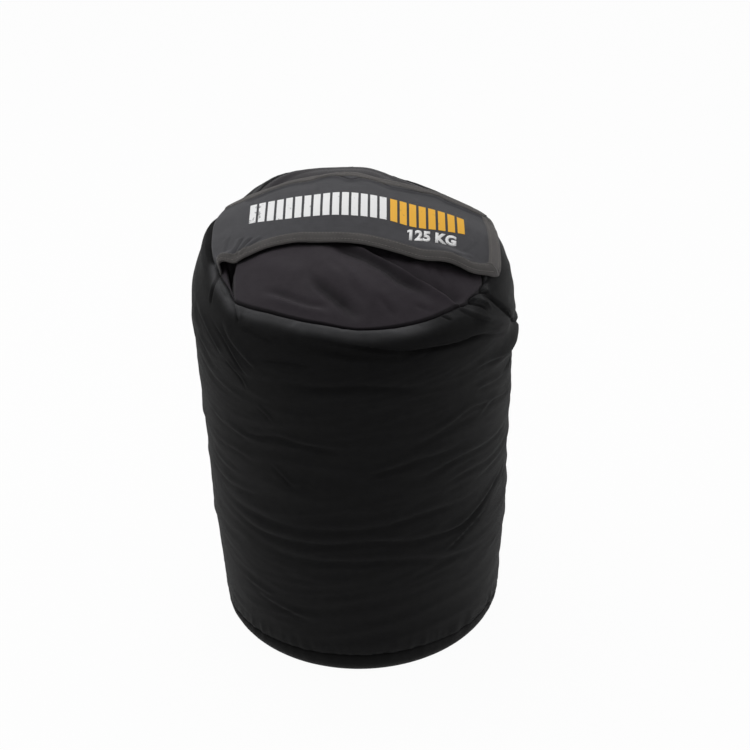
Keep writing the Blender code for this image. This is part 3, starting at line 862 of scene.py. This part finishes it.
def sand_place(around, down):
    turns = around * math.tau
    edge = float(length_at_radius(EDGE_RADIUS)) + 0.016
    part = np.clip((down - CROWN_SHARE) / (1 - CROWN_SHARE), 0, 1)
    skin, height = bag_skin(turns, edge + (line_length[-1] - edge) * part, SAND_DEPTH, INNER_FOLLOW)
    rim, _ = profile_points(turns, np.full(len(turns), edge), SAND_DEPTH)
    share = np.clip(down / CROWN_SHARE, 0, 1)
    crown = rim * share[:, None]
    crown[:, 2] = SAND_CROWN + (rim[:, 2] - 0.004 - SAND_CROWN) * share**2
    crown = settle(crown)
    crown[:, 2] -= 0.024 * mound(np.hypot(crown[:, 0] + 0.156, crown[:, 1] + 0.100), 0.030)
    return np.where((down < CROWN_SHARE)[:, None], crown, skin), 0 * height


dry_sand = sand_finish()
sand_fill = cloth_piece("sand_fill", 120, 100, sand_place, dry_sand, (1.3, 0.9))
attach(sand_fill, "bag")
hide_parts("sand_fill")

# Sleeve skirt. The smoother purple-black nylon sewn into the mouth seam, which gathers in
# and up to the rolled end of the filling sleeve. A pleat of it lies over the front.
SEWN_GAP = 0.0003
FLAP_CENTRE = 0.00325
FLAP_MIDDLE = 0.0125
LINING_LIFT = 0.0042
ROLL_ROOM = 0.0012
ROLL_HALF_LENGTH = 0.100
ROLL_HALF_WIDTH = 0.045
ROLL_HALF_HEIGHT = 0.015
PLEAT_EDGE = (
    (153, -127.5), (128, -122), (94, -110), (67, -97), (42, -85), (16, -70), (-12, -54),
)
PLEAT_LEFT = -0.150
FLAP_FRONT = (
    (-186, -66), (-174, -77.5), (-162, -71), (-149, -71.5), (-130, -70), (-101, -66), (-70, -65.5),
    (-38, -69), (17, -72), (71, -81.5), (100, -84.5), (128, -80), (148, -77.5), (168, -74), (184, -66),
    (194, -58), (200, -48),
)


def under_flap(x, y):
    """The share to which a point of the sleeve's cloth sinks as it goes in under the flap."""
    xs, ys = MM * np.array(FLAP_FRONT).T
    return smooth((y - np.interp(x, xs, ys) + 0.005 - 0.010 * smooth((x - 0.08) / 0.04)) / 0.009)


SEWN_ROWS = ((0, 0.18, 1), (0, 0.035, 1))
HOLLOW_EDGE = ((-132, -117.5, -102, -83, -58), (-145.5, -149.5, -155.5, -162, -167))


def roll_top(x):
    return dome_height(x, FLAP_MIDDLE) + LINING_LIFT - ROLL_ROOM


def pleat_line(x):
    xs, ys = MM * np.array(PLEAT_EDGE)[::-1].T
    return np.interp(x, xs, ys)


def skirt_place(around, inward):
    inward = np.interp(inward, *SEWN_ROWS)
    turns = math.pi / 2 + around * math.tau
    radius = mouth_radius(turns) - SEWN_GAP
    inner_x = FLAP_CENTRE + (ROLL_HALF_LENGTH + 0.0045) * np.cos(turns)
    inner_y = FLAP_MIDDLE + (ROLL_HALF_WIDTH + 0.0055) * np.sin(turns)
    foot = roll_top(inner_x) - 0.0050
    outer_x, outer_y = radius * np.cos(turns), radius * np.sin(turns)
    x = outer_x + (inner_x - outer_x) * inward
    y = outer_y + (inner_y - outer_y) * inward
    in_from_mouth = radius - np.hypot(x, y)
    drop = np.maximum(dome_height(inner_x, inner_y) - foot, 0) * smooth((inward - 0.7) / 0.3)
    under_pleat = smooth((pleat_line(x) - y + 0.004) / 0.012) * smooth((x - PLEAT_LEFT + 0.012) / 0.012)
    drop += 0.0085 * under_pleat * smooth(in_from_mouth / 0.014)
    beside_pleat = mound(y - pleat_line(x) - 0.003, 0.012) * smooth((x - PLEAT_LEFT) / 0.02)
    drop += 0.0065 * beside_pleat * smooth(in_from_mouth / 0.012)
    hollow_edge = np.interp(y, *(MM * np.array(HOLLOW_EDGE)))
    hollow = smooth((x - hollow_edge) / 0.005) * smooth((-0.138 - x) / 0.006)
    hollow *= smooth((y + 0.137) / 0.008) * smooth((-0.055 - y) / 0.02)
    drop += 0.022 * hollow
    covered = under_flap(x, y)
    drop += 0.0045 * covered * smooth((in_from_mouth - 0.01) / 0.02) * smooth((0.9 - inward) / 0.3)
    points = np.stack([x, y, dome_height(x, y) - 0.0012 - drop], 1)
    gathers = flat_grain(np.cos(turns), np.sin(turns), (16, 16), 4.4)
    ripples = grain(points, (22, 22, 22), 6.1)
    open_part = 1 - 0.8 * covered
    points[:, 2] += open_part * (0.0022 * gathers * smooth(in_from_mouth / 0.02) + 0.0012 * ripples)
    points[:, 2] -= 0.0085 * mound(in_from_mouth, 0.0012)
    # Painted shade beside the pleat's edge, down in the hollow at the left, in the mouth seam and in
    # under the flap; the tone is also paler where ripples and gathers rise.
    shade = -0.20 * beside_pleat - 0.42 * hollow - 0.55 * mound(in_from_mouth, 0.0019) - 0.3 * covered
    return settle(points), 6 * (ripples * 0.002 + gathers * 0.002) + shade


sleeve_skirt = cloth_piece(
    "sleeve_skirt", 260, 70, skirt_place, sleeve_cloth, (1.15, 0.12), THIN_CLOTH
)
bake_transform(sleeve_skirt)
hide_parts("sleeve_skirt")

PLEAT_FOLDS = (
    (23, 4.6, 0, (-64, -76), (-38, -99), (-16, -118), (12, -138), (40, -160), (64, -178)),
    (24, 1.2, 2.4, (-36, -112), (-16, -132), (10, -154), (24, -170), (34, -187)),
    (15, 0.4, 4.6, (-50, -106), (-30, -130), (-17, -142), (-4, -152), (9, -162), (24, -178)),
    (12, 1.4, 3.2, (-8, -180), (-28, -170), (-46, -165), (-67, -155), (-89, -143), (-114, -133)),
    (16, 0, 2.4, (-36, -78), (-10, -102), (5, -117), (15, -134), (26, -148), (45, -164)),
    (20, 0, 6.5, (-44, -44), (-12, -64), (4, -73), (28, -83), (44, -92), (61, -101), (77, -112),
     (96, -118), (112, -125), (130, -132)),
    (12, 0.8, 1.8, (44, -146), (56, -154), (69, -164), (78, -176)),
    (24, 3.0, 0, (-142, -80), (-112, -102), (-76, -120), (-50, -132)),
    (11, 1.6, 0, (-136, -136), (-92, -156), (-40, -172), (4, -184)),
    (8, 0.5, 1.5, (92, -148), (112, -150), (132, -146)),
)


def flat_path(stops, pieces=6):
    return smooth_path([(MM * x, MM * y, 0) for x, y in stops], pieces)


def flat_folds(x, y, folds):
    """The height of folds that are drawn on the bag's plan."""
    flat = np.stack([x, y, 0 * x], 1)
    return sum(add_fold(flat, np.broadcast_to((0.0, 0.0, 1.0), flat.shape), *fold) for fold in folds)


pleat_paths = read_folds(PLEAT_FOLDS, flat_path)
PLEAT_START = -139.5
PLEAT_TURN = 100


def pleat_place(along, back):
    back = np.interp(back, *SEWN_ROWS)
    turns = np.radians(PLEAT_START + PLEAT_TURN * along)
    radius = mouth_radius(turns) - SEWN_GAP
    front = np.stack([radius * np.cos(turns), radius * np.sin(turns)], 1)
    rear = np.stack([-0.152 + 0.140 * along, -0.042 - 0.012 * along], 1)
    plan = front + (rear - front) * back[:, None]
    edge = MM * np.array(PLEAT_EDGE)
    steps = np.concatenate([[0], np.cumsum(np.hypot(*np.diff(edge, axis=0).T))])
    steps /= steps[-1]
    bend = np.stack([np.interp(back, steps, edge[:, axis]) for axis in (0, 1)], 1)
    bend -= edge[0] + (edge[-1] - edge[0]) * back[:, None]
    plan += along[:, None] ** 3 * bend
    plan[:, 0] -= 0.0035 * np.sin(math.pi * back) * (1 - along) ** 4
    x, y = plan.T
    folds = flat_folds(x, y, pleat_paths)
    in_from_mouth = radius - np.hypot(x, y)
    width = 0.30 - 0.15 * back
    from_right, from_left = (1 - along) * width, along * width
    ripples = flat_grain(x, y, (14, 14), 9.4)
    covered = under_flap(x, y)
    lift = folds * smooth(in_from_mouth / 0.02) + 0.0012 * ripples
    lift += 0.0042 * mound(from_right - 0.0060, 0.0080) * smooth(back / 0.1)
    lift = 0.0012 + lift * (1 - covered) - 0.0030 * covered
    lift -= 0.0110 * smooth(1 - from_right / 0.0046) * smooth(back / 0.06)
    lift -= 0.0140 * smooth(1 - from_left / 0.0070) * smooth(back / 0.05)
    lift -= 0.0100 * mound(in_from_mouth, 0.0009)
    lift -= 0.0120 * smooth((back - 0.92) / 0.08)
    points = np.stack([x, y, dome_height(x, y) + lift], 1)
    # Tone: paler on the fold ridges, painted shade in their grooves, in the mouth seam and in under the
    # flap.
    shade = 14 * np.maximum(folds, 0) + 58 * np.minimum(folds, 0)
    shade -= 0.55 * mound(in_from_mouth, 0.0019) + 0.3 * covered
    return settle(points), shade


front_pleat = cloth_piece(
    "front_pleat", 210, 110, pleat_place, sleeve_cloth, (0.30, 0.13), THIN_CLOTH, closed=False
)
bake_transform(front_pleat)

# Rolled sleeve. The end of the filling sleeve, rolled up flat from its mouth and held by
# a strip of hook and loop tape along its front.
ROLL_TURNS = 2.6


def roll_place(along, around):
    x = FLAP_CENTRE + ROLL_HALF_LENGTH * (2 * along - 1)
    turn = -math.pi / 2 + around * ROLL_TURNS * math.tau
    half_width = ROLL_HALF_WIDTH - THIN_CLOTH - 0.020 * (1 - around)
    half_height = ROLL_HALF_HEIGHT - THIN_CLOTH - 0.0100 * (1 - around)
    wave = 1 + 0.03 * grain(np.stack([x, np.cos(turn), np.sin(turn)], 1), (30, 1.5, 1.5), 2.0)
    y = FLAP_MIDDLE + half_width * np.cos(turn) * np.minimum(wave, 1.02)
    z = roll_top(x) - ROLL_HALF_HEIGHT + half_height * np.sin(turn) * np.minimum(wave, 1.02)
    return settle(np.stack([x, y, z], 1)), 0 * x


sleeve_roll = cloth_piece(
    "sleeve_roll", 40, 150, roll_place, sleeve_cloth, (0.20, 0.24), 0.0011, closed=False
)
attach(sleeve_roll, "filling_sleeve")
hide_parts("sleeve_roll")


def hooked(name, colour, pale, pitch, depth):
    """Hook or loop tape: a close field of tiny hooks, or a matted pile of loops."""
    tape = Finish(name)
    place = tape.node("TexCoord", out=3)
    knots = tape.node("TexVoronoi", {}, {"Vector": place, "Scale": 1 / pitch})
    fuzz = tape.noise(place, 900, 3)
    lint = tape.noise(place, 60, 5)
    tone = 0.7 * fuzz + 0.5 * (lint - 0.4) - 0.4 * knots
    tape.cover(tone, colour, pale, fuzz - 0.8 * knots, depth, 0.0008)
    tape.set(Roughness=0.9, Specular_IOR_Level=0.15, Sheen_Weight=0.2, Sheen_Roughness=0.5)
    return tape


hook_tape = hooked("hook_tape", (0.006, 0.006, 0.006), (0.030, 0.030, 0.030), 0.0013, 0.9)
loop_tape = hooked("loop_tape", (0.009, 0.009, 0.009), (0.040, 0.040, 0.040), 0.0024, 0.6)
ROLL_TAPES = (("sleeve_loop_tape", 0.0017, loop_tape), ("sleeve_hook_tape", 0.0035, hook_tape))
TAPE_HALF_LENGTH = 0.070
TAPE_HALF_TURN = math.radians(34)
for tape_name, room, tape_finish in ROLL_TAPES:

    def roll_tape_place(along, across):
        x = FLAP_CENTRE + TAPE_HALF_LENGTH * (2 * along - 1)
        turn = math.pi - TAPE_HALF_TURN * (2 * across - 1)
        y = FLAP_MIDDLE + (ROLL_HALF_WIDTH + room) * np.cos(turn)
        z = roll_top(x) - ROLL_HALF_HEIGHT + (ROLL_HALF_HEIGHT + room) * np.sin(turn)
        return settle(np.stack([x, y, z], 1)), 0 * x

    roll_tape = cloth_piece(
        tape_name, 60, 12, roll_tape_place, tape_finish, (0.14, 0.02), 0.0013, closed=False
    )
    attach(roll_tape, "filling_sleeve")
    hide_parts(tape_name)

# Loop patches. Two curved pieces of loop tape, sewn flat on the shoulder on the right,
# under the flap's free end.
def top_height(x, y):
    return np.interp(np.hypot(x, y), line[: WIDEST + 1, 0], line[: WIDEST + 1, 1])


def over_top(x, y, lift):
    """A point over the bag's top, raised square to it by lift."""
    radius = np.maximum(np.hypot(x, y), 1e-6)
    place = length_at_radius(np.maximum(radius, DOME_START))
    out = np.interp(place, line_length, line_normal[:, 0])
    up = np.interp(place, line_length, line_normal[:, 1])
    flatter = np.minimum(radius / DOME_START, 1)
    out = out * flatter
    size = np.hypot(out, up)
    height = np.where(radius < DOME_START, dome_height(x, y), top_height(x, y))
    normal = np.stack([x / radius * out / size, y / radius * out / size, up / size], 1)
    return np.stack([x, y, height], 1) + np.reshape(lift, (-1, 1)) * normal


def shoulder_patch(name, first_turn, last_turn, lift, finish):
    """A curved piece of hook or loop tape on the shoulder."""
    inner, outer = PATCH_RADII

    def place(around, inward):
        turns = np.radians(first_turn + (last_turn - first_turn) * around)
        radius = outer + (inner - outer) * inward
        edge = np.minimum(np.minimum(around, 1 - around) * 6, np.minimum(inward, 1 - inward) * 3)
        rise = lift - 0.0004 * smooth(1 - edge)
        return settle(over_top(radius * np.cos(turns), radius * np.sin(turns), rise)), 0 * turns

    size = (math.radians(last_turn - first_turn) * outer, outer - inner)
    piece = cloth_piece(name, 40, 20, place, finish, size, PATCH_CLOTH, closed=False)
    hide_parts(name)
    return piece


PATCH_RADII = (0.160, 0.186)
PATCH_CLOTH = 0.0014
LOOP_PATCH_LIFT = 0.0018
HOOK_PATCH_LIFT = 0.0037
PATCH_TURNS = (("front", -18, 0), ("rear", 9, 27))
for side, first_turn, last_turn in PATCH_TURNS:
    patch = shoulder_patch("loop_patch_" + side, first_turn, last_turn, LOOP_PATCH_LIFT, loop_tape)
    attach(patch, "bag")

# Cover flap. A wide band of dark grey nylon over a lining of the same cloth, sewn into
# the shoulder on the left and held down on the right by hook patches under its end.
flap_cloth = woven(
    "flap_cloth", (0.026, 0.026, 0.0290), (0.112, 0.111, 0.120), 0.0010, 0.60, 0.11, 0.10, 0.30,
    usual=0.345, contrast=0.9
)
FLAP_REAR = (
    (-182, 74), (-147, 77), (-114, 75), (-90, 79), (-50, 81), (-30, 85), (2, 86), (21, 80), (40, 75.5),
    (82, 74.5), (102, 77), (156, 77), (170, 76.5), (180, 73), (187, 66), (192, 55),
)
FLAP_RIGHT = (
    (-60, 197), (-50, 199.5), (-30, 200), (-10, 199), (20, 196.5), (48, 192), (62, 188), (72, 182),
    (80, 172),
)
PANEL_LIFT = 0.0057
PANEL_CLOTH = 0.0018
# How much the flap's crease grooves are darkened: painted shade.
CREASE_SHADE = 220


def rounded_line(stops, at):
    """A smooth line through stops, read at the places at."""
    path = flat_path(stops, 12)
    return np.interp(at, path[:, 0], path[:, 1])


FLAP_CREASES = (
    (5, 0.9, 1.3, (-156, -64), (-148, -50), (-142, -34)),
    (5, 0.8, 1.2, (-149, -64), (-138, -50), (-128, -40)),
    (5, 0.8, 0.9, (-142, -66), (-128, -54), (-114, -46)),
    (5, 0.7, 0.5, (-166, -56), (-164, -40), (-162, -20)),
    (5, 0.5, 0.5, (150, -52), (160, -36), (166, -18)),
    (5, 0.5, 0.5, (136, -66), (150, -58), (164, -52)),
    (4, 1.8, 4.2, (190, 46), (183, 54), (174, 61), (157, 58), (130, 56), (112, 62), (90, 57), (68, 52),
     (51, 52), (39, 59), (25, 64), (9, 65), (-3, 60), (-19, 69), (-31, 73), (-45, 70), (-58, 64),
     (-80, 66), (-110, 63), (-135, 59), (-152, 55)),
)
crease_paths = read_folds(FLAP_CREASES, flat_path, 0.06)


def flap_wave(x, y):
    """How far the flap stands off its lie: puffed up along its front and rear edges."""
    rear = (0.0004 + 0.0026 * mound(x + 0.010, 0.036)) * smooth((y - 0.045) / 0.035)
    front = 0.0022 * smooth((-0.045 - y) / 0.025)
    middle = smooth((x + 0.170) / 0.05) * smooth((0.165 - x) / 0.04)
    ripples = 0.0011 * flat_grain(x, y, (13, 17), 3.3) + 0.0005 * flat_grain(x, y, (34, 40), 7.3)
    creases = flat_folds(x, y, crease_paths)
    at_front = smooth((-0.046 - y) / 0.018)
    arch = (0.0105 * mound(x + 0.1640, 0.0080) - 0.0022 * mound(x + 0.149, 0.006)) * at_front
    arch += 0.0048 * mound(x - 0.136, 0.026) * at_front
    tucked = smooth(1 - (x - rounded_line(FLAP_LEFT, y)) / 0.008)
    tucked *= -0.0110 * (1 - 0.4 * smooth(y / 0.06))
    turned_down = -0.0022 * smooth(1 - (y - rounded_line(FLAP_FRONT, x)) / 0.010)
    return (rear + front + ripples) * middle + creases + arch + tucked + turned_down


def flap_point(x, y, lift):
    return settle(over_top(x, y, lift + flap_wave(x, y)))


def flap_plan(along, across):
    """Turns shares of the flap's length and width into its place over the floor."""
    y = -0.07 + 0.15 * across
    for _ in range(3):
        left, right = rounded_line(FLAP_LEFT, y), rounded_line(FLAP_RIGHT, y)
        x = left + (right - left) * along
        front, rear = rounded_line(FLAP_FRONT, x), rounded_line(FLAP_REAR, x)
        y = front + (rear - front) * across
    return x, y


def flap_layer(name, columns, rows, lift, thickness, inset):
    def place(along, across):
        x, y = flap_plan(along * (1 - inset), inset + (1 - 2 * inset) * across)
        points = flap_point(x, y, np.full(len(x), lift))
        edge = np.minimum(np.minimum(across, 1 - across) * 0.155, (1 - along) * 0.38)
        rubbed = 0.05 * flat_grain(x, y, (20, 48), 5.5)
        # Painted shade: a thin dark line just inside the bindings, and in the crease grooves; the grain
        # is the cloth's own uneven tone.
        rubbed -= 0.10 * mound(edge - 0.014, 0.004)
        return points, rubbed + CREASE_SHADE * np.minimum(flat_folds(x, y, crease_paths), 0)

    piece = cloth_piece(name, columns, rows, place, flap_cloth, (0.385, 0.155), thickness, closed=False)
    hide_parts(name)
    return piece


STRIP_START = 0.006
STRIP_WIDTH = 0.021
STRIP_FRONT = -0.058
STRIP_LENGTH = 0.134


def strip_place(along, inward):
    y = STRIP_FRONT + STRIP_LENGTH * along
    x = rounded_line(FLAP_LEFT, y) + STRIP_START + STRIP_WIDTH * inward
    return settle(over_top(x, y, np.full(len(x), 0.0010))), 0 * x


flap_seam_strip = cloth_piece(
    "flap_seam_strip", 40, 12, strip_place, tape_cloth, (STRIP_LENGTH, STRIP_WIDTH), 0.0008,
    closed=False
)
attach(flap_seam_strip, "bag")
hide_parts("flap_seam_strip")

flap_lining = flap_layer("flap_lining", 150, 60, LINING_LIFT + 0.0012, 0.0012, 0.0085)
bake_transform(flap_lining)
flap_panel = flap_layer("flap_panel", 230, 140, PANEL_LIFT + PANEL_CLOTH, PANEL_CLOTH, 0.003)
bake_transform(flap_panel)
for side, first_turn, last_turn in PATCH_TURNS:
    patch = shoulder_patch("hook_patch_" + side, first_turn, last_turn, HOOK_PATCH_LIFT, hook_tape)
    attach(patch, "cover_flap")

# Flap binding. Warm grey grosgrain folded over the flap's raw edges, front, rear and free
# end, and sewn through with two rows of thread.
binding_tape = ribbed("binding_tape", (0.051, 0.0475, 0.0465), (0.140, 0.132, 0.129), 0.0014)
BINDING_WIDTH = 0.0145
BINDING_OVER = PANEL_LIFT + PANEL_CLOTH + 0.0006
BINDING_UNDER = LINING_LIFT + 0.0004
BINDING_SECTION = (
    (BINDING_WIDTH, BINDING_OVER - 0.0007),
    (BINDING_WIDTH - 0.0008, BINDING_OVER),
    (0.0065, BINDING_OVER + 0.0002),
    (0.0003, BINDING_OVER),
    (-0.0012, (BINDING_OVER + BINDING_UNDER) / 2),
    (0.0003, BINDING_UNDER),
    (0.0065, BINDING_UNDER),
    (0.0095, BINDING_UNDER),
)


def edge_point(side, along, inward):
    """A point of the flap's plan, in from one of its edges by inward."""
    fixed = np.zeros(len(along)) if side == "front" else np.ones(len(along))
    places = [np.clip(along + step, 0, 1) for step in (-0.012, 0, 0.012)]
    if side == "end":
        before, here, after = [flap_plan(fixed, place) for place in places]
    else:
        before, here, after = [flap_plan(place, fixed) for place in places]
    way_x, way_y = after[0] - before[0], after[1] - before[1]
    step = inward / np.hypot(way_x, way_y) * (-1 if side == "rear" else 1)
    return here[0] - way_y * step, here[1] + way_x * step


def binding_point(side, along, inward, lift):
    x, y = edge_point(side, along, inward)
    return flap_point(x, y, lift + 0.00025 * flat_grain(x, y, (170, 170), 1.7))


# The last column shifts each side's tone: the front binding, tipped down away from the lamp above, in
# painted shade, and the free end painted paler.
BINDING_SIDES = (
    ("front", 240, 0.0, 1.0, -0.15),
    ("rear", 240, 0.0, 1.0, 0.05),
    ("end", 90, 0.012, 0.985, 0.3),
)
STITCH_LINES = (0.0032, 0.0112)
flap_rows = []
for side, columns, first, last, rubbed in BINDING_SIDES:

    def binding_place(along, across):
        row = across * (len(BINDING_SECTION) - 1)
        section = np.array(BINDING_SECTION).T
        inward = np.interp(row, np.arange(len(BINDING_SECTION)), section[0])
        inward *= 1 if side == "end" else 0.3 + 0.7 * smooth(along / 0.07)
        lift = np.interp(row, np.arange(len(BINDING_SECTION)), section[1])
        share = first + (last - first) * along
        creases = flat_folds(*edge_point(side, share, inward), crease_paths)
        points = binding_point(side, share, inward, lift)
        # Painted highlight along the binding's folded edge, painted shade in the crease grooves, and the
        # side's painted tone shift.
        return points, rubbed + 0.12 * mound(inward, 0.0025) + CREASE_SHADE * np.minimum(creases, 0)

    rows = 4 * (len(BINDING_SECTION) - 1)
    binding = cloth_piece(
        "flap_binding_" + side, columns, rows, binding_place, binding_tape, (0.385, 0.026),
        0.0007, closed=False
    )
    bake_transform(binding)
    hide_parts("flap_binding_" + side)
    for inward in STITCH_LINES:
        along = np.linspace(first + 0.01 * (side != "end"), last - 0.008 * (side != "end"), 300)
        level = np.full(len(along), BINDING_OVER + 0.0003)
        flap_rows.append(binding_point(side, along, np.full(len(along), inward), level))
grey_thread = thread("grey_thread", (0.21, 0.20, 0.185))
flap_stitches = stitches("flap_stitches", flap_rows, grey_thread)
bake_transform(flap_stitches)

# Print. Screen printed ink on the flap: a band of plain slanted bars, white and then
# orange, rubbed at the left, and the bag's weight under its right end.
def ink(name, colour, under):
    """Thick screen ink, slightly shiny, cracked and rubbed away in places."""
    print_ink = Finish(name)
    place = print_ink.node("TexCoord", out=3)
    wear = print_ink.noise(place, 90, 6)
    threads = print_ink.noise(place, 1100, 1)
    left = ((print_ink.split(place)[0] + 0.10) * -14).math("MAXIMUM", 0).math("MINIMUM", 1)
    rubbed = (wear - 0.66 + 0.20 * left) * 14 + 0.3 * (threads - 0.5)
    rubbed = rubbed.math("MAXIMUM", 0).math("MINIMUM", 1)
    print_ink.cover(rubbed * 0.85, colour, under, threads - rubbed, 0.2, 0.0002)
    print_ink.set(Roughness=0.5 + 0.2 * wear, Specular_IOR_Level=0.4)
    return print_ink


PRINT_LIFT = PANEL_LIFT + PANEL_CLOTH + 0.0004
INK_THICKNESS = 0.00035
BAND_FRONT = (
    (-136, -9), (-100, -19), (-55, -25), (0, -26), (46, -29), (85, -34), (125, -24), (158, -12),
)
BAND_REAR = (
    (-136, 36), (-100, 28), (-55, 23), (0, 24), (46, 18), (85, 14), (125, 18), (158, 22),
)
BAR_WIDTH = 0.0092
BAR_PITCH = 0.0126
BAR_SLANT = -0.003
WHITE_INK = (0.95, 0.95, 0.95)
BARE_CLOTH = (0.20, 0.20, 0.21)
INKS = (
    ("print_white", WHITE_INK, BARE_CLOTH, -0.135, 15),
    ("print_orange", (0.95, 0.50, 0.045), (0.16, 0.12, 0.08), 0.0555, 8),
)
for ink_name, colour, under, start, count in INKS:
    shape = bmesh.new()
    for bar in range(count):
        made = bmesh.ops.create_grid(shape, x_segments=3, y_segments=12, size=0.5)
        places = np.array([vert.co[:2] for vert in made["verts"]]) + 0.5
        x = start + bar * BAR_PITCH + BAR_WIDTH * places[:, 0] + BAR_SLANT * places[:, 1]
        front, rear = rounded_line(BAND_FRONT, x), rounded_line(BAND_REAR, x)
        y = front + (rear - front) * places[:, 1]
        for vert, point in zip(made["verts"], flap_point(x, y, np.full(len(x), PRINT_LIFT))):
            vert.co = point
    band = add_piece(ink_name, shape, ink(ink_name, colour, under), INK_THICKNESS, smooth_faces=False)
    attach(band, "cover_flap")

weight = bpy.data.curves.new("weight_mark", "FONT")
weight.body = "125 KG"
weight.size = 0.0235
weight.offset = 0.0012
weight.space_character = 1.06
weight.space_word = 0.8
weight.align_x = "CENTER"
weight.resolution_u = 4
guide = bpy.data.objects.new("weight_guide", weight)
bpy.context.scene.collection.objects.link(guide)
bpy.context.view_layer.update()
mark_mesh = bpy.data.meshes.new_from_object(guide.evaluated_get(bpy.context.evaluated_depsgraph_get()))
bpy.data.objects.remove(guide)
MARK_PLACE = (0.1105, -0.0520)
MARK_SCALE = (0.84, 1.08)
MARK_SLANT = 0.20
ONE_FLAG = ((-0.03486, 0.01723), (-0.0380, 0.0158), (-0.0380, 0.0124), (-0.03486, 0.0134))
shape = bmesh.new()
shape.from_mesh(mark_mesh)
shape.faces.new([shape.verts.new((x, y, 0)) for x, y in ONE_FLAG])
letters = np.array([vert.co for vert in shape.verts])
mark_x = MARK_PLACE[0] + letters[:, 0] * MARK_SCALE[0]
mark_y = MARK_PLACE[1] + letters[:, 1] * MARK_SCALE[1] + MARK_SLANT * letters[:, 0]
for vert, point in zip(shape.verts, flap_point(mark_x, mark_y, np.full(len(letters), PRINT_LIFT))):
    vert.co = point
mark_ink = ink("print_mark", WHITE_INK, BARE_CLOTH)
weight_mark = add_piece("weight_mark", shape, mark_ink, INK_THICKNESS, smooth_faces=False)
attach(weight_mark, "cover_flap")
